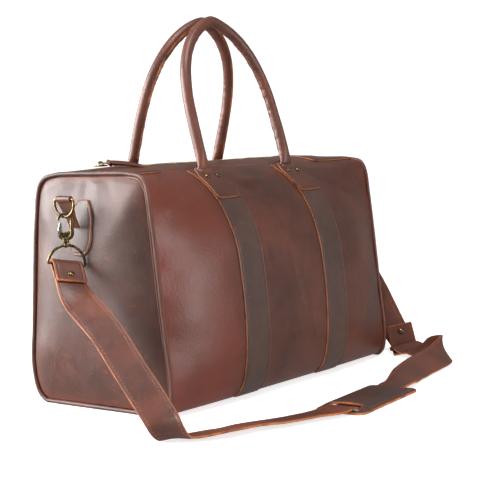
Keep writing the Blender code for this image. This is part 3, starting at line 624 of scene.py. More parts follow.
# Soft creases in the skin: x and t at each end, width in metres, height
CREASES = ((-0.066, 9.2, -0.020, 8.2, 0.010, -0.0016), (-0.062, 9.0, 0.020, 8.9, 0.012, 0.0012),
           (-0.235, 8.6, -0.190, 9.6, 0.009, -0.0015), (-0.228, 8.0, -0.170, 8.9, 0.010, 0.0012),
           (0.128, 8.9, 0.190, 8.0, 0.012, -0.0013), (0.135, 9.4, 0.210, 9.1, 0.010, 0.0011),
           (-0.200, 3.9, -0.135, 3.4, 0.012, -0.0010), (-0.010, 6.6, 0.012, 4.6, 0.009, -0.0007),
           (0.020, 6.0, 0.040, 3.9, 0.008, -0.0006), (0.150, 6.4, 0.158, 4.2, 0.009, -0.0007),
           (-0.060, -9.1, -0.010, -8.0, 0.011, -0.0014), (0.180, -9.0, 0.230, -8.2, 0.010, -0.0012),
           (-0.180, -8.7, -0.230, -8.0, 0.011, -0.0012), (0.02, -5.8, 0.03, -3.8, 0.010, -0.0008))


def relief(p, x, t):
    """Undulation of the leather over its pattern shape; none where the bag rests on the floor."""
    x, t = np.broadcast_arrays(x, t)
    height = 0.0019 * noise(p, 0.105, 3) + 0.0009 * noise(p, 0.042, 5)
    near_end = np.exp(-(HALF_LENGTH - np.abs(x)) / 0.022)
    height += near_end * 0.0011 * noise(p * np.array([0.25, 1, 1]), 0.017, 11)
    turned_t = (t + TOP) % (2 * TOP) - TOP
    for x0, t0, x1, t1, width, depth in CREASES:
        a = np.array([x0, t0 * 0.040])
        run = np.array([x1, t1 * 0.040]) - a
        place = np.stack([x, turned_t * 0.040], -1) - a
        share = np.clip((place @ run) / (run @ run), 0, 1)
        gap = np.linalg.norm(place - share[..., None] * run, axis=-1)
        height += 1.7 * depth * bell(gap, width * 0.75) * np.sin(math.pi * np.clip(share, 0.04, 0.96)) ** 0.7
    resting = np.clip((p[..., 2] - 0.004) / 0.022, 0, 1)
    mouth = np.clip((0.3035 - p[..., 2]) / 0.012, 0.15, 1)
    return height * resting * mouth


def skin(x, t, height):
    """Point and normal `height` above the leather skin."""
    x, t = np.broadcast_arrays(np.asarray(x, float), np.asarray(t, float))
    p = section(x, t)
    across = section(x + 1e-3, t) - section(x - 1e-3, t)
    around = section(x, t + 0.01) - section(x, t - 0.01)
    n = unit(np.cross(across, around))
    return p + n * (height + relief(p, x, t))[..., None], n


def patch(xs, ts, top, thickness, distance=None):
    """Leather sheet over a grid of x and t; distance gives each point's way to the nearest edge."""
    drop = 0 if distance is None else edge_profile(distance)
    return slab(skin(xs, ts, top + drop)[0], skin(xs, ts, top - thickness)[0])


def row_on_skin(xs, ts, height):
    points, normals = skin(xs, ts, np.broadcast_to(height, np.broadcast(xs, ts).shape))
    return stitch_row(points, normals)


sewing = []


def build_body():
    xs = lines((-0.2491, -0.236, 8), (-0.236, 0.236, 150), (0.236, 0.2491, 8))[:, None]
    ts = lines((-10, -9.7, 6), (-9.7, -1.6, 128), (-1.6, 1.6, 16), (1.6, 9.7, 128), (9.7, 10, 6))[None]
    p = section(xs, ts)
    seam = np.exp(-(0.2491 - np.abs(p[..., 0])) / 0.012)
    low = np.clip((0.050 - p[..., 2]) / 0.050, 0, 1)
    # Painted light: warm tints the left front panel, which is turned to the light, redder and lighter.
    warm = np.clip((-0.115 - p[..., 0]) / 0.03, 0, 1) * np.clip((0.02 - p[..., 1]) / 0.04, 0, 1)
    cloud = 0.5 + 0.5 * noise(p, 0.06, 21)
    tone = np.clip(0.30 * seam + 0.20 * low * cloud + warm * (0.16 + 0.34 * cloud), 0, 0.7)
    part = slab(skin(xs, ts, 0 * tone)[0], skin(xs, ts, 0 * tone - SKIN)[0], tone=tone)
    make("leather_body_wrap", part, [BODY, EDGE, FLESH], "bag", "leather", "body_wrap")


def build_lining():
    xs = np.linspace(-0.2455, 0.2455, 60)[:, None]
    ts = np.linspace(-9.4, 9.4, 130)[None]
    folds = 0.0006 * ridges(section(xs, ts), 0.05, 9)
    part = slab(skin(xs, ts, 0 * folds - SKIN - 0.0006)[0], skin(xs, ts, -SKIN - 0.0014 - folds)[0])
    make("cloth_lining", part, [LINING] * 3, "bag", "lining_cloth", "lining")
    board = brick((0.460, 0.156, 0.0030), (0, 0, 0.0066), 0.5)
    make("stiff_base_board", board, [BOARD], "bag", "board", "base_board")


def build_bands():
    shares = across_lines(BAND_WIDTH)
    ts = lines((2.5, 2.6, 2), (2.6, 9.7, 180), (9.7, 9.75, 2))
    for face, face_label in FACES:
        for side, label in SIDES:
            centre = side * BAND_X + BAND_SHIFT
            wave = 0.0004 * noise(np.stack([ts * 0.04, ts * 0, ts * 0 + side + 3 * face], -1), 0.05, 31)
            xs = (centre + wave[None] + shares[:, None])
            gap = BAND_WIDTH / 2 - np.abs(shares)[:, None] + 0 * ts[None]
            top = GAP + BAND_LEATHER
            part = patch(xs, face * ts[None], top, BAND_LEATHER, gap)
            name = f"{face_label}_{label}_band"
            make(f"leather_{name}", part, [BAND, EDGE, FLESH], "bag", "band_leather", name)
            for line in (-1, 1):
                at = centre + wave + line * (BAND_WIDTH / 2 - SEW)
                sewing.append(("bag", row_on_skin(at, face * ts, top - 0.00022)))


def outline_gap(u, v, half, low, high):
    """Distance to the nearest side of a strip |u| < half, low < v < high, all in metres."""
    return np.minimum(half - np.abs(u), np.minimum(v - low, high - v))


def rivet(radius=0.0038):
    profile = [(0, -0.0006), (radius * 0.96, -0.0006), (radius, 0.0002), (radius * 0.93, 0.0009),
               (radius * 0.72, 0.0015), (radius * 0.40, 0.00185), (radius * 0.16, 0.0019), (0, 0.0019)]
    return lathe(profile)


def facing_matrix(point, normal):
    turn = Vector(normal).to_track_quat("Z", "Y").to_matrix().to_4x4()
    return Matrix.Translation(Vector(point)) @ turn


def build_tabs():
    """Handle tabs with two rivets, sewn round, their tops gathered up to the handle's foot."""
    step, corner = 0.0413, 0.006
    rows = lines((8.25, 8.37, 8), (8.37, 9.65, 36), (9.65, 9.75, 5))
    narrow = np.where(rows < 9.2, 1, 1 - 0.50 * np.clip((rows - 9.2) / 0.55, 0, 1) ** 1.2)
    low = np.minimum((rows - 8.25) * step, corner)
    half = 0.025 * narrow - corner + np.sqrt(np.clip(corner ** 2 - (corner - low) ** 2, 0, 1))
    across = across_lines(0.050)[:, None] / 0.025 * half[None]
    gap = outline_gap(across, (rows - 8.25) * step, half[None], -0.0001, 1)
    top = 2 * GAP + BAND_LEATHER + SKIN
    rise = 0.0012 * bell(across, 0.010) * np.clip((rows - 9.3) / 0.4, 0, 1)[None]
    sewn = (rows > 8.37) & (rows < 9.35)
    crossing = np.linspace(-0.0205, 0.0205, 12)
    for face, face_label in FACES:
        for side, label in SIDES:
            centre = side * BAND_X + BAND_SHIFT
            name = f"{face_label}_{label}"
            part = patch(centre + across, face * rows[None], top + rise, SKIN, gap)
            make(f"leather_{name}_tab", part, [TAB, EDGE, FLESH], "bag", "leather", f"{name}_handle_tab")
            for line in (-1, 1):
                sewing.append(("bag", row_on_skin(centre + line * (half[sewn] - SEW), face * rows[sewn],
                                                  top - 0.0002)))
            sewing.append(("bag", row_on_skin(centre + crossing, face * (8.25 + SEW / step) + 0 * crossing,
                                              top - 0.0002)))
            for number, spread in ((1, -0.011), (2, 0.011)):
                cap = moved(rivet(), facing_matrix(*skin(centre + spread, face * 9.20, top + 0.0006)))
                make(f"brass_{name}_rivet_{number}", cap, [BRASS], "bag", "antique_brass",
                     f"{name}_rivet_{number}")


# End panels ---------------------------------------------------------------------------------------

def seam_point(t):
    p = section(HALF_LENGTH, t)
    p[..., 2] = np.maximum(p[..., 2], 0.0028)
    return p


def panel_relief(side, y, z, radius):
    """Pinched folds under the zip end, ripples down the rear edge and slack towards the base."""
    p = np.stack([side * 0.3 + 0 * y, y, z], -1)
    height = 0.0018 * noise(p, 0.090, 41) + 0.0007 * noise(p, 0.035, 43)
    down = 0.2965 - z
    for y0, lean, width, depth in ((0.004, -0.10, 0.0032, -0.0022), (-0.012, -0.34, 0.0038, 0.0016),
                                   (0.018, 0.28, 0.0040, -0.0020), (-0.030, -0.55, 0.0044, -0.0012),
                                   (0.036, 0.50, 0.0050, 0.0014)):
        line = y0 + lean * down
        fade = np.exp(-down / 0.026) * np.clip(down / 0.010, 0, 1)
        height += depth * bell(y - line, width + 0.10 * down) * fade
    rear = np.clip((y - 0.045) / 0.045, 0, 1) * (1 - np.clip((radius - 0.93) / 0.07, 0, 1))
    height += 0.0024 * rear * noise(np.stack([0 * y, y * 0.6, z], -1), 0.036, 47)
    front = np.clip((-y - 0.060) / 0.050, 0, 1)
    height += 0.0010 * front * noise(np.stack([0 * y, y, z * 0.35], -1), 0.020, 48)
    return height * np.clip((1 - radius) / 0.06, 0, 1)


def panel(side, radius, t, height):
    rim = seam_point(t)
    arm = np.stack([rim[..., 1], rim[..., 2] - PANEL_MIDDLE], -1)
    reach = np.linalg.norm(arm, axis=-1, keepdims=True)
    arm = arm * radius[..., None] * (1 - 0.0034 / reach)
    swelling = PILLOW * (1 - radius ** 3.2)
    y = arm[..., 0]
    z = PANEL_MIDDLE + arm[..., 1]
    x = HALF_LENGTH + 0.0005 + swelling + height + panel_relief(side, y, z, radius)
    return np.stack([side * x, y, z], -1)


def panel_height(side, y, z):
    """Outer surface of an end panel at (y, z), found along its spokes."""
    y, z = np.broadcast_arrays(np.asarray(y, float), np.asarray(z, float))
    ts = np.linspace(-TOP, TOP, 353)
    rim = seam_point(ts)
    angles = np.unwrap(np.arctan2(rim[:, 1], rim[:, 2] - PANEL_MIDDLE))
    reach = np.hypot(rim[:, 1], rim[:, 2] - PANEL_MIDDLE) - 0.0034
    order = np.argsort(angles)
    angle = np.arctan2(y, z - PANEL_MIDDLE)
    low, high = angles.min(), angles.max()
    angle = np.where(angle < low, angle + 2 * math.pi, angle)
    angle = np.where(angle > high, angle - 2 * math.pi, angle)
    radius = np.hypot(y, z - PANEL_MIDDLE) / np.interp(angle, angles[order], reach[order])
    swelling = PILLOW * (1 - np.clip(radius, 0, 1) ** 3.2)
    return HALF_LENGTH + 0.0005 + swelling + panel_relief(side, y, z, radius)


def build_ends():
    radii = lines((0.03, 0.9, 44), (0.9, 1, 14))[:, None]
    ts = np.linspace(-TOP, TOP, 265)[None, :-1]
    coarse = np.linspace(0.03, 1, 20)[:, None]
    few = np.linspace(-TOP, TOP, 121)[None, :-1]
    for side, label in SIDES:
        upper, lower = [panel(side, radii + 0 * ts, ts + 0 * radii, height) for height in (0, -SKIN)]
        y, z = upper[..., 1], upper[..., 2]
        lightening = 0.20 * np.clip((radii - 0.90) / 0.10, 0, 1)
        scuff = bell(y - 0.055, 0.022) * bell(z - 0.060, 0.020)
        scuff *= ridges(np.stack([0 * y, y * 1.8 + z, z - y * 0.5], -1), 0.0065, 51)
        rub = 0.10 * np.clip(noise(upper, 0.05, 53), 0, 1) * np.clip((0.13 - z) / 0.1, 0, 1)
        part = slab(upper, lower, wrap=True, cap=True, tone=np.clip(lightening + 0.45 * scuff + rub, 0, 0.7))
        make(f"leather_{label}_end", part, [PANEL, EDGE, FLESH], "bag", "leather", f"{label}_end_panel")
        upper, lower = [panel(side, coarse + 0 * few, few + 0 * coarse, -SKIN - depth)
                        for depth in (0.0012, 0.0020)]
        make(f"cloth_{label}_end_lining", slab(upper, lower, wrap=True, cap=True), [LINING] * 3, "bag",
             "lining_cloth", f"{label}_end_lining")
        build_piping(side, label)


def build_piping(side, label):
    """Piping roll, with the turned leather that grips it on each side."""
    ts = np.linspace(-TOP, TOP, 353)[:-1]
    seam = seam_point(ts)
    roll = seam * np.array([0, 1, 1]) + np.array([side * 0.2525, 0, 0])

    def knobs(path, turn, ring):
        p = path[:, None] + ring * 0.003
        return 0.00022 * noise(p, 0.011, 61 + side)

    def warm(path, turn):
        return (0.04 + 0.22 * front)[:, None] + 0.10 * noise(np.repeat(path[:, None], len(turn), 1), 0.03, 63)

    front = np.clip((-0.055 - seam[:, 1]) / 0.03, 0, 1) * np.clip((seam[:, 2] - 0.004) / 0.03, 0, 1)
    roll[:, 0] -= side * 0.0010 * (1 - front)
    core = sweep(roll, (side, 0, 0), 0.0028, sides=16, cyclic=True, relief=knobs, tone=warm)
    inward = unit(np.stack([0 * ts, -seam[:, 1], PANEL_MIDDLE - seam[:, 2]], -1))
    lip = roll + inward * 0.0044 + np.array([side, 0, 0]) * (0.0024 * front - 0.0024)[:, None]
    lip[:, 2] = np.maximum(lip[:, 2], 0.0030)
    turned_edge = sweep(lip, (side, 0, 0), 0.0013 + 0.0008 * front, sides=12, cyclic=True)
    make(f"leather_{label}_piping", [core, turned_edge], [PANEL], "bag", "leather", f"{label}_piping")


# Handles ------------------------------------------------------------------------------------------

def handle_path(face):
    share = np.linspace(0, 1, 1400)
    angle = math.pi * (0.5 - 0.5 * np.cos(math.pi * share))
    across = np.sign(np.cos(angle)) * np.abs(np.cos(angle)) ** 1.4264
    rise = np.abs(np.sin(angle)) ** 0.5035
    depth = 0.0622 + (0.0080 - 0.0622) * rise
    path = np.stack([BAND_SHIFT - 0.095 * across, -face * depth, 0.3014 + 0.1961 * rise], -1)
    feet = []
    for centre in (BAND_SHIFT - 0.095, BAND_SHIFT + 0.095):
        down = np.linspace(9.66, 9.36, 8)
        low, _ = skin(centre + 0 * down, face * down, 0.0052 - 0.0030 * (9.66 - down) / 0.30)
        feet.append(low)
    bends = []
    for foot, top in ((feet[0], path[0]), (feet[1], path[-1])):
        u = np.linspace(0, 1, 14)[1:-1, None]
        away = unit(foot[0] - foot[1]) * 0.010
        rise = np.array([0, 0, 0.012])
        bends.append(foot[0] * (1 - u) ** 3 + (foot[0] + away) * 3 * u * (1 - u) ** 2
                     + (top - rise) * 3 * u ** 2 * (1 - u) + top * u ** 3)
    path = np.concatenate([feet[0][::-1], bends[0], path[1:-1], bends[1][::-1], feet[1]])
    at = along(path, HANDLE_STEP)
    return sample(path, np.concatenate([[0.0], at, [len(path) - 1.001]]))


def build_handles():
    for face, label in FACES:
        path = handle_path(face)
        inward = np.array([0.0, face, 0.0])
        bend = -unit(path - np.array([BAND_SHIFT, 0, 0.36]))
        foot = np.clip((0.322 - path[:, 2]) / 0.030, 0, 1) ** 1.5
        tip = np.minimum(np.arange(len(path)), np.arange(len(path))[::-1]) * HANDLE_STEP
        foot_round = np.sqrt(np.clip(1 - (1 - tip / 0.009).clip(0, 1) ** 2, 0.02, 1))

        def wrinkle(points, turn, ring, bend=bend):
            inside = np.clip(np.einsum("ijk,ik->ij", ring, bend), 0, 1)
            s = np.arange(len(points))[:, None] * HANDLE_STEP + 0 * turn
            p = np.stack([s, turn * 0.004 + 0 * s, 0 * s], -1)
            fine = noise(p, 0.0044, 71) * (0.14 + 0.95 * inside)
            return 0.00062 * fine + 0.00040 * noise(p * np.array([1, 3, 1]), 0.030, 73)

        def warm(points, turn):
            p = np.repeat(points[:, None], len(turn), 1) + np.stack([0 * turn, 0 * turn, turn * 0.01], -1)
            return np.clip(0.10 + 0.22 * noise(p, 0.030, 75), 0, 1)

        wide = 0.0075 - 0.0045 * foot
        deep = (0.0075 + 0.0058 * foot) * foot_round
        parts = [sweep(path, inward, wide, deep, sides=28, relief=wrinkle, tone=warm)]
        inner = path[path[:, 2] > 0.314]
        _, towards, sideways = frames(inner, inward)
        for offset in (-0.0008, 0.0008):
            ridge = inner + towards * (0.0070 + 0.0004 * noise(inner, 0.006, 77)[:, None]) + sideways * offset
            parts.append(sweep(ridge, inward, 0.0012, 0.0007, sides=8, power=0.6, finish=1))
        blend = ("bag", f"{label}_handle", (0, -face * 0.0622, 0.3015), (0, -face * 0.0622, 0.3215))
        make(f"leather_{label}_handle", parts, [HANDLE, EDGE], blend, "leather", f"{label}_handle_cover")
        core = sweep(inner[::3], inward, 0.0050, sides=12)
        make(f"rope_{label}_core", core, [ROPE], f"{label}_handle", "rope", f"{label}_handle_core")
        row = inner + towards * 0.0074 + sideways * 0.0015
        sewing.append((f"{label}_handle", stitch_row(row, sideways, 0.0042, 0.0031, 0.00038)))


# Mouth --------------------------------------------------------------------------------------------

def build_flaps():
    """The two halves of the mouth: facing, zip tape and teeth."""
    ts = lines((10.03, 10.09, 4), (10.09, 10.80, 14), (10.80, 10.86, 5))
    xs = lines((-0.175, -0.172, 3), (-0.172, 0.172, 110), (0.172, 0.175, 3))[:, None]
    step, pitch = 0.0452, 0.0030
    run = np.linspace(-0.171, 0.171, 160)
    teeth_x = np.linspace(-0.17, 0.17, 60)
    teeth_z = section(teeth_x, 11.0)[:, 2] - 0.0009
    gap = np.minimum(np.minimum(10.86 - ts, ts - 10.03)[None] * step, 0.175 - np.abs(xs))
    for face, label in FACES:
        body = f"{label}_mouth_flap"
        tuck = 0.0005 * noise(np.stack([xs + 0 * ts, face + 0 * xs * ts, 0 * xs * ts], -1), 0.02, 81)
        part = patch(xs, face * ts[None], 0.0002 + tuck, BAND_LEATHER, gap)
        make(f"leather_{label}_facing", part, [BODY, EDGE, FLESH], body, "leather", f"{label}_zip_facing")
        for t in (10.86 - SEW / step, 10.03 + SEW / step):
            sewing.append((body, row_on_skin(run, face * t + 0 * run, 0.0)))
        tape = patch(np.linspace(-0.1749, 0.1749, 90)[:, None], face * np.linspace(10.30, 10.93, 8)[None],
                     -0.0022, 0.0006)
        make(f"cloth_{label}_zip_tape", tape, [TAPE] * 3, body, "lining_cloth", f"{label}_zip_tape")
        teeth = []
        for index in range(-55, 55):
            x = index * pitch + (0 if face > 0 else pitch / 2)
            z = np.interp(x, teeth_x, teeth_z)
            teeth.append(brick((0.0016, 0.0034, 0.0016), (x, -face * 0.0011, z), 0.5))
            teeth.append(brick((0.0018, 0.0014, 0.0021), (x, -face * 0.0027, z), 0.6))
        make(f"brass_{label}_teeth", teeth, [TEETH], body, "antique_brass", f"{label}_zip_teeth")


def build_zip_ends():
    """Patches over the two ends of the zip, pinched towards the end panels."""
    ts = lines((9.85, 9.95, 4), (9.95, 12.05, 60), (12.05, 12.15, 4))
    step = 0.045
    top = GAP + BAND_LEATHER
    for side, label in SIDES:
        xs = side * lines((0.1765, 0.1790, 3), (0.179, 0.245, 26), (0.245, 0.2478, 4))
        gap = np.minimum(np.minimum(np.abs(xs) - 0.1765, 0.2478 - np.abs(xs))[:, None],
                         np.minimum(ts - 9.85, 12.15 - ts)[None] * step)
        x, y, _ = np.moveaxis(section(xs[:, None], ts[None]), -1, 0)
        pinch = -0.0022 * bell(y - 0.002, 0.004) * np.clip((np.abs(x) - 0.205) / 0.03, 0, 1)
        pinch += 0.0012 * bell(y + 0.012, 0.007) * np.clip((np.abs(x) - 0.20) / 0.03, 0, 1)
        part = patch(xs[:, None], ts[None], top + pinch, BAND_LEATHER, gap)
        make(f"leather_{label}_zip_end", part, [BODY, EDGE, FLESH], "bag", "leather", f"{label}_zip_end")
        span = np.linspace(9.95, 12.05, 60)
        sewing.append(("bag", row_on_skin(side * (0.1765 + SEW) + 0 * span, span, top - 0.0002)))
        span = np.linspace(0.181, 0.244, 20)
        for t in (9.85 + SEW / step, 12.15 - SEW / step):
            sewing.append(("bag", row_on_skin(side * span, t + 0 * span, top - 0.0002)))


def circle(centre, radius, start, end, count, across, up):
    angles = np.radians(np.linspace(start, end, count))
    c = np.array(centre, float)
    return (c + radius * (np.cos(angles)[:, None] * np.array(across, float)
                          + np.sin(angles)[:, None] * np.array(up, float)))


def build_zip_slider():
    base = np.array(SLIDER)
    bridge = circle(base + (0, 0, 0.0022), 0.0040, 0, 180, 17, (1, 0, 0), (0, 0, 1.05))
    parts = [brick((0.0180, 0.0090, 0.0024), base + (0, 0, 0.0012), 0.7),
             brick((0.0060, 0.0105, 0.0020), base + (-0.0050, 0, 0.0012), 0.7),
             sweep(bridge, (0, 1, 0), 0.0017, 0.0007, sides=12, power=0.7)]
    make("brass_zip_slider", parts, [BRASS], "zip_slider", "antique_brass", "zip_slider")
    place = Matrix.Translation(SLIDER + Vector((0, 0, 0.0042))) @ Matrix.Rotation(PULL_TURN, 4, "Z")
    corners = np.array([(LINK_LENGTH, 0.0088, 0), (LINK_LENGTH - 0.0040, 0.0088, 0), (0, 0.0014, 0),
                        (0, -0.0014, 0), (LINK_LENGTH - 0.0040, -0.0088, 0),
                        (LINK_LENGTH, -0.0088, 0)]) - (0.0007, 0, 0)
    loop = np.array([a * (1 - s) + b * s for a, b in zip(corners, np.roll(corners, -1, 0))
                     for s in (0.06, 0.3, 0.6, 0.94)])
    link = moved(sweep(loop, (0, 0, 1), 0.00085, sides=10, cyclic=True), place)
    make("brass_pull_link", link, [BRASS], "zip_pull", "antique_brass", "zip_pull_link")
    build_pull_tab(place @ Matrix.Translation((LINK_LENGTH - 0.0007, 0, 0))
                   @ Matrix.Rotation(PULL_DROOP, 4, "Y") @ Matrix.Rotation(math.radians(14), 4, "X"))


def build_pull_tab(place):
    """Leather pull: two layers that meet round the link, sewn down both sides, drooping to the tip."""
    flat = np.array([[x, 0, 0.0010] for x in np.linspace(0.0040, 0.0470, 26)])
    path = np.concatenate([circle((0, 0, 0), 0.0020, 180, 30, 12, (1, 0, 0), (0, 0, 1)), flat])
    shares = across_lines(0.0150, 0.0022) / 0.0075
    parts = []
    for way in (1, -1):
        path = path * (1, 1, way)
        width = 0.0075 - 0.0020 * np.clip(path[:, 0] - 0.0440, 0, 1) / 0.003
        _, out, _ = frames(path, path * (0, 0, 1) + (0, 0, 1e-6))
        out = out * np.where(out[:, 2:] * way < 0, -1, 1)
        grid = path[:, None] + shares[None, :, None] * width[:, None, None] * np.array([0, 1, 0])
        lift = 0.0009 + 0.6 * edge_profile(width[:, None] * (1 - np.abs(shares)[None]), 0.0022)
        part = slab(grid + out[:, None] * lift[..., None], grid - out[:, None] * 0.0001)
        part["v"][:, 2] -= 3.2 * np.clip(part["v"][:, 0] - 0.006, 0, 1) ** 2
        parts.append(moved(part, place))
    make("leather_pull_tab", parts, [TAB, EDGE, EDGE], "zip_pull", "leather", "zip_pull_tab")
    x = np.linspace(0.006, 0.044, 24)
    for line in (-0.0053, 0.0053):
        row = np.stack([x, line + 0 * x, 0.00185 - 3.2 * (x - 0.006) ** 2], -1)
        sewing.append(("zip_pull", moved(stitch_row(row, (0, 0, 1), 0.0036, 0.0026, 0.00030), place)))


# Hardware at the ends -----------------------------------------------------------------------------

def build_chapes():
    """Shield-shaped leather on each end panel, sewn down both sides."""
    z = lines((0.267, 0.264, 5), (0.264, 0.204, 40), (0.204, 0.198, 9))
    share = (0.267 - z) / 0.069
    shoulder = 0.42 + 0.58 * np.sin(np.clip(share / 0.40, 0, 1) * math.pi / 2)
    toe = np.clip((share - 0.65) / 0.35, 0, 1)
    half = 0.020 * shoulder * np.sqrt(1 - 0.90 * toe ** 2)
    y = across_lines(0.040, 0.0030)[:, None] / 0.020 * half[None]
    level = z[None] + 0 * y
    gap = outline_gap(y, level, half[None], 0.198, 0.267)
    sewn = (z < 0.263) & (z > 0.2035)
    for side, label in SIDES:
        rise = 0.0010 * bell(y, 0.012) * bell(level - 0.235, 0.03)
        x = panel_height(side, y, level) + 0.0026 + rise
        part = slab(np.stack([side * (x + edge_profile(gap, 0.0030)), y, level], -1),
                    np.stack([side * (x - 0.0022), y, level], -1))
        # Painted shade: the chape takes the darker, greyer band leather to stand for the shadow of the hook
        # over it.
        make(f"leather_{label}_chape", part, [BAND, EDGE, FLESH], "bag", "leather", f"{label}_chape")
        for way in (1, -1):
            row_y, row_z = way * (half[sewn] - 0.0030), z[sewn]
            row = np.stack([side * (panel_height(side, row_y, row_z) + 0.0025), row_y, row_z], -1)
            sewing.append(("bag", stitch_row(row, (side, 0, 0), 0.0040, 0.0030, 0.00036)))


def build_ring_loops():
    """Leather folded round each D-ring's bar, its two tails tapering down over the chape."""
    width = across_lines(0.023, 0.0026)
    for side, label in SIDES:
        bar = np.array([side * HARDWARE_X, 0, BAR_Z])
        aim = unit(np.array([side * 0.2803, 0, 0.233]) - bar)
        out = np.cross(aim, (0, 1, 0)) * side * -1
        eye = circle(bar, 0.0032, 300, 60, 22, aim, out)
        tail = np.linspace(0.0046, 0.0405, 20)[:, None] * aim
        path = np.concatenate([(bar - out * 0.0009 + tail)[::-1], eye, bar + out * 0.0009 + tail])
        away = np.concatenate([np.repeat(-out[None], 20, 0), unit(eye - bar), np.repeat(out[None], 20, 0)])
        taper = 1 - 0.35 * np.clip((np.linalg.norm(path - bar, axis=1) - 0.006) / 0.02, 0, 1)
        grid = path[:, None] + taper[:, None, None] * width[None, :, None] * np.array([0, 1, 0])
        gap = 0.0115 - np.abs(width)[None] + 0 * path[:, :1]
        lift = (0.0009 + 0.7 * edge_profile(gap, 0.0026))[..., None]
        part = slab(grid + away[:, None] * lift, grid - away[:, None] * 0.0008)
        # Painted shade: the cut edges take the tab leather instead of the tan raw edge, darkening the loop
        # tails that sit in shadow inside the ring.
        make(f"leather_{label}_ring_loop", part, [TAB, TAB, FLESH], "bag", "leather", f"{label}_ring_loop")


def build_d_rings():
    corner = [(D_RADIUS, 0.2652), (D_RADIUS, 0.2664), (D_RADIUS - 0.0004, 0.2682),
              (D_RADIUS - 0.0014, 0.2694), (D_RADIUS - 0.0032, BAR_Z)]
    bar = [(y, BAR_Z) for y in np.linspace(0.010, -0.010, 12)]
    for side, label in SIDES:
        x = side * HARDWARE_X
        bow = circle((x, 0, D_CENTRE_Z), D_RADIUS, 180, 360, 40, (0, 1, 0), (0, 0, 1))
        rest = [(x, y, z) for y, z in corner + bar + [(-y, z) for y, z in corner[::-1]]]
        ring = sweep(np.concatenate([bow, rest]), (1, 0, 0), D_WIRE, sides=16, cyclic=True)
        make(f"brass_{label}_d_ring", ring, [BRASS], f"{label}_d_ring", "antique_brass", f"{label}_d_ring")


def build_hooks():
    """Cast snap hook: a flat-sided frame that swells at the barrel, with a sprung gate."""
    lower = circle((0, 0, HOOK_FOOT), HOOK_HALF, 205, 360, 26, (1, 0, 0), (0, 0, 1))
    upper = circle((0, 0, HOOK_TOP), HOOK_HALF, 0, 178, 30, (1, 0, 0), (0, 0, 1))
    flank = [(HOOK_HALF, 0, z) for z in np.linspace(HOOK_FOOT + 0.002, HOOK_TOP - 0.002, 8)]
    path = np.concatenate([lower, flank, upper])
    s = np.linspace(0, 1, len(path))
    thick = 0.0016 + 0.0012 * bell(s - 0.34, 0.20)
    deep = 0.0019 + 0.0014 * bell(s - 0.30, 0.22)
    heights = (0.2222, 0.2240, 0.2262, 0.2280, 0.2296, 0.2304)
    halves = np.array([0.0040, 0.0062, 0.0084, 0.0088, 0.0072, 0.0030])
    lever = [(-HOOK_HALF + 0.0012 + lean, 0, z) for lean, z in
             ((0.0002, 0.2286), (0.0004, 0.2305), (0.0008, 0.2335), (0.0012, 0.2365), (0.0014, 0.2395),
              (0.0010, 0.2412))]
    for side, label in SIDES:
        place = Matrix.Translation((side * HARDWARE_X, 0, 0)) @ Matrix.Rotation(math.radians(-45), 4, "Z")
        hook = sweep(path, (0, 1, 0), deep, thick, sides=16, power=0.75)
        cheek = sweep([(0, 0, height) for height in heights], (0, 1, 0), 0.0029 * np.sqrt(halves / 0.0088),
                      halves, sides=20, power=0.6)
        barrel = lathe([(0, 0.2160), (0.0032, 0.2160), (0.0044, 0.2167), (0.0044, 0.2178), (0.0036, 0.2184),
                        (0.0036, 0.2200), (0.0046, 0.2207), (0.0046, 0.2222), (0.0034, 0.2232), (0, 0.2236)])
        make(f"brass_{label}_hook", [moved(part, place) for part in (hook, cheek, barrel)], [BRASS],
             f"{label}_hook", "antique_brass", f"{label}_snap_hook")
        gate = sweep(lever, (0, 1, 0), (0.0026, 0.0029, 0.0029, 0.0027, 0.0024, 0.0016),
                     (0.0020, 0.0027, 0.0028, 0.0025, 0.0020, 0.0011), sides=16, power=0.5)
        knob = moved(lathe([(0, -0.0014), (0.0012, -0.0014), (0.0015, -0.0008), (0.0015, 0.0008),
                            (0.0012, 0.0014), (0, 0.0014)]),
                     Matrix.Translation((-HOOK_HALF, 0, 0.2290)) @ Matrix.Rotation(math.pi / 2, 4, "X"))
        make(f"steel_{label}_gate", [moved(gate, place), moved(knob, place)], [STEEL], f"{label}_gate",
             "antique_brass", f"{label}_gate")


def build_strap_rings():
    reach, inset = RING_RADIUS - 0.0004, RING_RADIUS - 0.0022
    for side, label in SIDES:
        bar = LEFT_BAR if side < 0 else RIGHT_BAR
        up = np.array((Vector((0, 0, 1)) - bar * bar.z).normalized())
        bar = np.array(bar)
        centre = np.array([side * HARDWARE_X, 0, RING_Z])
        straight = [(d, 0) for d in np.linspace(inset - 0.002, 0.002 - inset, 14)]
        places = [(reach, -0.0003), (inset, 0), *straight, (-inset, 0), (-reach, -0.0003)]
        path = np.concatenate([circle(centre, RING_RADIUS, 177, 3, 50, bar, up),
                               [centre + bar * d + up * rise for d, rise in places]])
        ring = sweep(path, np.cross(bar, up), RING_WIRE * 1.18, sides=16, cyclic=True)
        top = Matrix.Translation(Vector(centre) + Vector((0, 0, RING_RADIUS)))
        post = lathe([(0, 0), (0.0018, 0), (0.0018, 0.0036), (0.0024, 0.0041), (0.0024, 0.0047), (0, 0.0050)])
        ball = lathe([(0, -0.0031), (0.0015, -0.0027), (0.0027, -0.0015), (0.0031, 0), (0.0027, 0.0014),
                      (0.0015, 0.0024), (0, 0.0027)])
        make(f"brass_{label}_strap_ring", [ring, moved(post, top), moved(ball, top)], [BRASS], "strap",
             "antique_brass", f"{label}_strap_ring")


# Straps -------------------------------------------------------------------------------------------

def turned(stations, length, axis, degrees, count):
    """Carry the last station on along its own heading while it bends about a fixed axis."""
    centre, heading, width = stations[-1]
    turn = Matrix.Rotation(math.radians(degrees) / count / 2, 3, axis)
    for _ in range(count):
        heading = turn @ heading
        centre = centre + heading * (length / count)
        heading, width = turn @ heading, turn @ turn @ width
        stations.append((centre, heading, width))


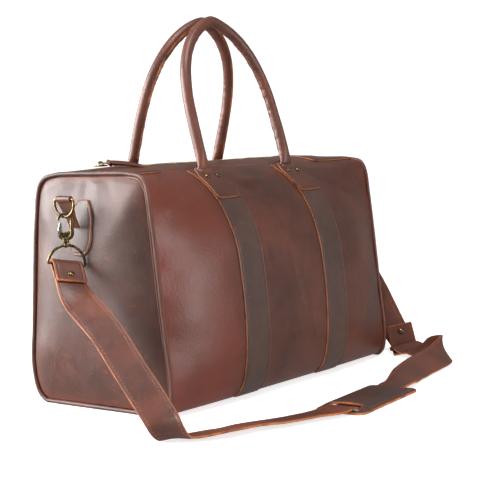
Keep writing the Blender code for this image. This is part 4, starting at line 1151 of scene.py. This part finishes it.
def round_bar(bar, first, second, line, degrees=180):
    """Stations round a bar, from its side `first` on past its side `second`."""
    turns = [math.radians(angle) for angle in range(0, degrees + 1, 30)]
    return [(bar + WRAP * (math.cos(turn) * first + math.sin(turn) * second), line) for turn in turns]


def strap_left():
    bar = Vector((-HARDWARE_X, 0, RING_Z))
    face = LEAVE.cross(LEFT_BAR)
    loop = [(bar + LEAVE * 0.0345 + face * 0.0005, -LEAVE, -LEFT_BAR),
            (bar + LEAVE * 0.0170 + face * 0.0022, -LEAVE, -LEFT_BAR),
            (bar + face * WRAP, -LEAVE, -LEFT_BAR)]
    turned(loop, math.pi * WRAP, LEFT_BAR, -180, 10)
    stations = [(bar + face * WRAP * 3, LEAVE, -LEFT_BAR)]
    turned(stations, 0.034, LEFT_BAR, 0, 4)
    side = DROP_FACE.cross(DROP).normalized()
    start = Matrix((LEAVE, -LEFT_BAR, -face)).transposed()
    end = Matrix((DROP, -side, side.cross(DROP))).transposed()
    bend = (end @ start.inverted()).to_quaternion()
    turned(stations, 0.040, bend.axis, math.degrees(bend.angle), 8)
    heading, width = stations[-1][1:]
    normal = heading.cross(width)
    axis = normal.cross(Vector((0, 0, 1))).normalized()
    roll = math.degrees(normal.angle(Vector((0, 0, 1)))) - UNROLLED
    fold = [stations[-1]]
    turned(fold, FOLD_LENGTH, axis, roll, 9)
    fall = fold[0][0].z - fold[-1][0].z
    straight = (stations[-1][0].z - fall - FLOOR_LIFT - FOLD_LIFT) / -heading.z
    turned(stations, straight, axis, 0, 10)
    turned(stations, FOLD_LENGTH, axis, roll, 12)
    # It comes off the far side of the bar and only then crosses to its way down
    run = 0
    for index, (centre, heading, across) in enumerate(stations[1:], 1):
        run += (centre - stations[index - 1][0]).length
        share = min(max((run - 0.038) / 0.110, 0), 1)
        lag = 1 - share * share * (3 - 2 * share)
        loop.append((centre - face * (4 * WRAP * lag), heading, across))
    return [(centre, across) for centre, heading, across in loop]


def strap_right():
    pad = Matrix.Rotation(PAD_TURN, 3, "Z")
    stations = [((-0.284, -0.2265, 0.0060), (0.08, 0.985, -0.15)),
                ((-0.247, -0.2350, 0.0055), (0.24, 0.96, -0.13)),
                ((-0.209, -0.2530, 0.0050), (0.42, 0.90, -0.10)),
                ((-0.167, -0.2670, 0.0050), (0.15, 0.98, -0.10))]
    for x, z in ((-0.090, 0.0066), (-0.076, 0.0066), (-0.067, 0.0055), (-0.058, 0.0030),
                 (-0.048, FLOOR_LIFT), (0, FLOOR_LIFT), (0.048, FLOOR_LIFT), (0.058, 0.0030),
                 (0.067, 0.0055), (0.076, 0.0066), (0.090, 0.0070)):
        stations.append((PAD_CENTRE + pad @ Vector((x, 0, z)), pad @ Vector((0, 1, 0))))
    stations += [((0.086, -0.2560, 0.0112), (-0.10, 0.90, 0.42)),
                 ((0.130, -0.2490, 0.0134), (-0.12, 0.82, 0.56)),
                 ((0.175, -0.2430, 0.0140), (-0.12, 0.80, 0.59)),
                 ((0.218, -0.2370, 0.0160), (-0.05, 0.74, 0.67)),
                 ((0.245, -0.2270, 0.0188), (0.25, 0.55, 0.79)),
                 ((0.256, -0.2070, 0.0184), (0.55, 0.20, 0.81)),
                 ((0.257, -0.1870, 0.0160), (0.72, -0.25, 0.64)),
                 ((0.264, -0.1670, 0.0120), (0.68, -0.68, 0.28))]
    return [(Vector(centre), Vector(across).normalized()) for centre, across in stations]


def bar_loop(bar, line, towards, tail, back):
    out = line.cross(towards).normalized()
    under = bar - out * WRAP
    return [(bar - towards * back + out * WRAP, line), *round_bar(bar, out, towards, line),
            (under - towards * tail / 2, line), (under - towards * tail, line)]


def short_strap_stations():
    bar = Vector((HARDWARE_X, 0, RING_Z))
    up = Vector((0, 0, 1))
    back = up.cross(RIGHT_BAR)
    slant = Vector((0.583, -0.728, 0.364))
    out = ADJUSTER_ALONG.cross(SHORT_HEADING).normalized()
    return [*((bar + back * WRAP - up * drop, RIGHT_BAR) for drop in (0.028, 0.012, 0.003)),
            *round_bar(bar, back, up, RIGHT_BAR, 150),
            (Vector((0.2942, -0.0100, 0.1782)), RIGHT_BAR),
            (Vector((0.2970, -0.0320, 0.156)), RIGHT_BAR.lerp(slant, 0.5)),
            (Vector((0.2975, -0.0560, 0.128)), slant),
            (Vector((0.2975, -0.0790, 0.096)), slant),
            (Vector((0.2975, -0.0985, 0.062)), slant),
            (Vector((0.2970, -0.1130, 0.036)), ADJUSTER_ALONG.lerp(slant, 0.5)),
            *round_bar(ADJUSTER_A, out, SHORT_HEADING, ADJUSTER_ALONG),
            *((ADJUSTER_A - out * WRAP - SHORT_HEADING * rise, ADJUSTER_ALONG) for rise in (0.015, 0.032))]


def smooth_stations(stations):
    """Round the path through its stations, with one row about every STRAP_STEP."""
    points = np.array([tuple(centre) for centre, _ in stations])
    across = unit(np.array([tuple(line) for _, line in stations]))
    ends = np.concatenate([[2 * points[0] - points[1]], points, [2 * points[-1] - points[-2]]])
    centres, sides = [], []
    for i in range(len(points) - 1):
        a, b, c, d = ends[i:i + 4]
        before, run, after = [max(np.linalg.norm(q - p), 1e-9) for p, q in ((a, b), (b, c), (c, d))]
        slope_b = (c - b) * before / (before + run) / run + (b - a) * run / (before + run) / before
        slope_c = (d - c) * run / (run + after) / after + (c - b) * after / (run + after) / run
        count = max(2, int(round(run / STRAP_STEP)))
        u = (np.arange(count) / count)[:, None]
        ease = 3 * u ** 2 - 2 * u ** 3
        centres.append((1 - ease) * b + (u ** 3 - 2 * u ** 2 + u) * run * slope_b + ease * c
                       + (u ** 3 - u ** 2) * run * slope_c)
        sides.append(across[i] * (1 - ease) + across[i + 1] * ease)
    centres = np.concatenate([*centres, points[-1:]])
    sides = np.concatenate([*sides, across[-1:]])
    heading = unit(np.gradient(centres, axis=0))
    sides = unit(sides - heading * np.sum(sides * heading, axis=1, keepdims=True))
    return centres, sides, np.cross(heading, sides)


def strap_ribbon(name, stations, node_name):
    """Strap with rounded raw edges and a stitch line near each edge on both faces."""
    centres, sides, faces = smooth_stations(stations)
    shares = across_lines(STRAP_WIDTH, STRAP_SEW)
    s = np.arange(len(centres)) * STRAP_STEP
    wander = noise(np.stack([s, 0 * s, 0 * s + 1], -1), 0.04, 91) * 0.0004
    edge = edge_profile(STRAP_WIDTH / 2 - np.abs(shares), STRAP_SEW)[None]
    grid = centres[:, None] + sides[:, None] * (shares[None, :, None] + wander[:, None, None])
    cup = 0.0004 * noise(grid, 0.030, 93)
    lift = (STRAP_LEATHER / 2 + edge + np.minimum(cup, 0) * 0.5)[..., None]
    top = grid + faces[:, None] * lift
    under = grid - faces[:, None] * (STRAP_LEATHER / 2 + 0.6 * edge)[..., None]
    for layer in (top, under):
        layer[..., 2] = np.maximum(layer[..., 2], 0.0002)
    part = slab(top, under, tone=np.clip(0.10 + 0.26 * noise(grid, 0.035, 95), 0, 1))
    make(name, part, [STRAP, EDGE, STRAP], "strap", "strap_leather", node_name)
    for line in (-1, 1):
        edge = centres + sides * (line * (STRAP_WIDTH / 2 - STRAP_SEW) + wander[:, None])
        for way in (1, -1):
            row = edge + faces * way * (STRAP_LEATHER / 2 - 0.00030)
            sewing.append(("strap", stitch_row(row, faces * way, 0.0050, 0.0037, 0.00042)))


def build_straps():
    towards = (ADJUSTER_A - ADJUSTER_B).normalized()
    end = bar_loop(ADJUSTER_B, ADJUSTER_ALONG, towards, 0.022, 0.006)
    strap_ribbon("leather_long_strap", strap_left() + strap_right() + end, "long_strap")
    strap_ribbon("leather_short_strap", short_strap_stations(), "short_strap")
    half = ADJUSTER_ALONG * 0.0212
    corner = towards * 0.0022
    points = []
    for bar, side, inward in ((ADJUSTER_A, 1, -1), (ADJUSTER_A, -1, -1), (ADJUSTER_B, -1, 1),
                              (ADJUSTER_B, 1, 1)):
        bend = [bar + half * side * out + corner * inward * back
                for out, back in ((1, 1), (0.985, 0.35), (0.93, 0))]
        points += bend if side == -inward else bend[::-1]
    loop = []
    for a, b in zip(points, points[1:] + points[:1]):
        steps = 8 if (b - a).length > 0.01 else 1
        loop += [np.array(a.lerp(b, k / steps)) for k in range(steps)]
    ring = sweep(loop, np.array(ADJUSTER_ALONG.cross(towards)), RING_WIRE * 1.05, sides=16, cyclic=True)
    make("brass_adjuster_ring", ring, [BRASS], "strap", "antique_brass", "adjuster_ring")
    up = Vector((0, 0, 1))
    flap = LEAVE.cross(LEFT_BAR)
    left = Vector((-HARDWARE_X, 0, RING_Z)) + LEAVE * 0.024 - flap * 0.0021
    right = Vector((HARDWARE_X, 0, RING_Z)) - up * 0.016
    out = SHORT_HEADING.cross(ADJUSTER_ALONG).normalized()
    # The right strap rivet is antique brass like the others; the bright nickel finish on it is a painted
    # highlight.
    for name, centre, aim, finish in (("left_strap_rivet", left, flap, BRASS),
                                      ("right_strap_rivet", right, up.cross(RIGHT_BAR), STEEL),
                                      ("adjuster_rivet", ADJUSTER_A - SHORT_HEADING * 0.021, out, BRASS)):
        foot = centre + aim * (WRAP + STRAP_LEATHER / 2 + 0.0003)
        cap = moved(rivet(0.0042), facing_matrix(foot, aim))
        make(f"brass_{name}", cap, [finish], "strap", "antique_brass", name)


def build_pad():
    """Shoulder pad: rounded corners, crowned middle, slots for the strap, sewn round."""
    slot_in, slot_out = SLOT_X - SLOT_HALF_LENGTH, SLOT_X + SLOT_HALF_LENGTH
    half_x = np.concatenate([np.linspace(0, slot_in, 19), np.linspace(slot_in, slot_out, 6)[1:],
                             np.linspace(slot_out, 0.0800, 6)[1:], [0.0808, 0.0816, 0.0823, 0.0828, 0.083]])
    xs = np.concatenate([-half_x[:0:-1], half_x])
    half_y = np.concatenate([np.linspace(0, SLOT_HALF_WIDTH, 8), [0.0245, 0.0275, 0.0299, 0.0306, 0.0313,
                             0.0325, 0.0334, 0.034]])
    ys = np.concatenate([-half_y[:0:-1], half_y])
    corner = 0.012
    over = np.clip(np.abs(xs) - (PAD_HALF_LENGTH - corner), 0, corner)
    reach = (PAD_HALF_WIDTH - corner + np.sqrt(np.clip(corner ** 2 - over ** 2, 0, 1))) / PAD_HALF_WIDTH
    y = ys[None] * reach[:, None]
    x = xs[:, None] + 0 * y
    ends = np.clip((slot_out - np.abs(x)) / (2 * SLOT_HALF_LENGTH), 0, 1)
    crown = 1 - (ys[None] / PAD_HALF_WIDTH) ** 4
    gap = np.minimum(PAD_HALF_LENGTH - np.abs(x), reach[:, None] * (PAD_HALF_WIDTH - np.abs(ys)[None]))
    z = PAD_LEATHER + 0.0003 + 0.0056 * ends * crown
    p = np.stack([x, y, 0 * x], -1)
    puff = 0.0007 * noise(p, 0.03, 97) * np.clip(gap / 0.01, 0, 1)
    top = np.stack([x, y, z + puff + edge_profile(gap)], -1)
    under = np.stack([x, y, z - PAD_LEATHER + np.clip(puff, 0, 1)], -1)
    middle_x = (xs[1:] + xs[:-1]) / 2
    middle_y = (ys[1:] + ys[:-1]) / 2
    in_slot = np.abs(np.abs(middle_x) - SLOT_X) < SLOT_HALF_LENGTH
    hole = in_slot[:, None] & (np.abs(middle_y) < SLOT_HALF_WIDTH)
    place = Matrix.Translation(PAD_CENTRE) @ Matrix.Rotation(PAD_TURN, 4, "Z")
    tone = np.clip(0.08 + 0.2 * noise(p, 0.03, 98), 0, 1)
    part = moved(slab(top, under, keep=~hole, tone=tone), place)
    make("leather_shoulder_pad", part, [PAD, EDGE, FLESH], "strap", "strap_leather", "shoulder_pad")
    inset = 1 - SEW / PAD_HALF_WIDTH
    for side in (-1, 1):
        use = np.abs(xs) < 0.0785
        row_y = side * (reach[use] * PAD_HALF_WIDTH - SEW)
        level = PAD_LEATHER + 0.0056 * ends[use, 0] * (1 - inset ** 4)
        row = np.stack([xs[use], row_y, level + 0.0001], -1)
        sewing.append(("strap", moved(stitch_row(row, (0, 0, 1)), place)))
        cross = np.linspace(-0.026, 0.026, 20)
        row = np.stack([side * (PAD_HALF_LENGTH - SEW) + 0 * cross, cross,
                        PAD_LEATHER + 0.0001 + 0 * cross], -1)
        sewing.append(("strap", moved(stitch_row(row, (0, 0, 1)), place)))


def build_sewing():
    slots = {"strap": "strap_leather", "bag": "band_leather"}
    for body in sorted({body for body, _ in sewing}):
        rows = [row for name, row in sewing if name == body]
        thread_kind = THREAD if body == "bag" else TAN_THREAD
        make(f"stitching_{body}", rows, [thread_kind], body, slots.get(body, "leather"), sharp=180)


# Stage --------------------------------------------------------------------------------------------

def glow(name, strength, base=0.0):
    """Plain white finish that gives off a little light of its own."""
    finish = bpy.data.materials.new(name)
    finish.use_nodes = True
    feed(finish.node_tree.nodes["Principled BSDF"],
         {"Base Color": grey(base), "Roughness": 0.9, "Specular IOR Level": 0.0,
          "Emission Color": grey(1), "Emission Strength": strength})
    return finish


def build_stage():
    ring = [(math.cos(k * math.pi / 48), math.sin(k * math.pi / 48)) for k in range(96)]
    disc = [(1.15 * c, 1.15 * s, 0) for c, s in ring]
    wall = [(9 * c, 9 * s, z) for z in (-0.002, 9.0) for c, s in ring]
    low, high = tuple(range(96)), tuple(range(96, 192))
    drum = [(k, (k + 1) % 96, (k + 1) % 96 + 96, k + 96) for k in low] + [low, high]
    for name, v, faces, finish in (("floor", disc, [low], glow("pale_floor", 0.72, 0.80)),
                                   ("backdrop", wall, drum, glow("pale_backdrop", 1.2))):
        mesh = bpy.data.meshes.new(name)
        mesh.from_pydata(v, [], faces)
        mesh.materials.append(finish)
        item = add_object(name, mesh)
        item.visible_glossy = False
    item.visible_diffuse = item.visible_transmission = item.visible_shadow = False
    world = bpy.data.worlds.new("studio")
    world.use_nodes = True
    world.node_tree.nodes["Background"].inputs["Color"].default_value = (1, 1, 1, 1)
    world.node_tree.nodes["Background"].inputs["Strength"].default_value = 0.24
    bpy.context.scene.world = world


def add_light(name, place, aim, size, power):
    data = bpy.data.lights.new(name, "AREA")
    data.shape = "RECTANGLE"
    data.size, data.size_y = size
    data.energy = power
    lamp = add_object(name, data)
    lamp.location = place
    lamp.rotation_euler = (Vector(aim) - Vector(place)).to_track_quat("-Z", "Y").to_euler()


def build_lights():
    add_light("left_softbox", (-1.75, 1.35, 0.95), (-0.25, 0, 0.2), (1.9, 1.7), 92)
    add_light("rear_softbox", (-0.9, 2.1, 0.7), (-0.25, 0.05, 0.2), (1.0, 1.4), 56)
    add_light("top_softbox", (-0.4, -0.5, 2.2), (0, 0, 0.1), (1.1, 1.1), 30)
    add_light("front_softbox", (0.45, -2.1, 0.5), (-0.2, 0, 0.15), (0.7, 1.1), 15)


def build_camera():
    """Low view past the left end, from in front."""
    data = bpy.data.cameras.new("camera")
    data.lens = 100.06
    data.sensor_width = 36.0
    data.clip_end = 30
    right, up = Vector((0.5963, -0.8022, -0.0290)), Vector((0.0865, 0.0282, 0.9959))
    turn = Matrix((right, up, (-0.7981, -0.5964, 0.0862))).transposed()
    camera = add_object("camera", data)
    camera.matrix_world = Matrix.Translation((-1.4769, -1.1478, 0.3546)) @ turn.to_4x4()
    bpy.context.scene.camera = camera
    bpy.context.scene.view_settings.view_transform = "Standard"


build_body()
build_lining()
build_bands()
build_tabs()
build_ends()
build_handles()
build_flaps()
build_zip_ends()
build_zip_slider()
build_chapes()
build_ring_loops()
build_d_rings()
build_hooks()
build_strap_rings()
build_straps()
build_pad()
build_sewing()
build_stage()
build_lights()
build_camera()
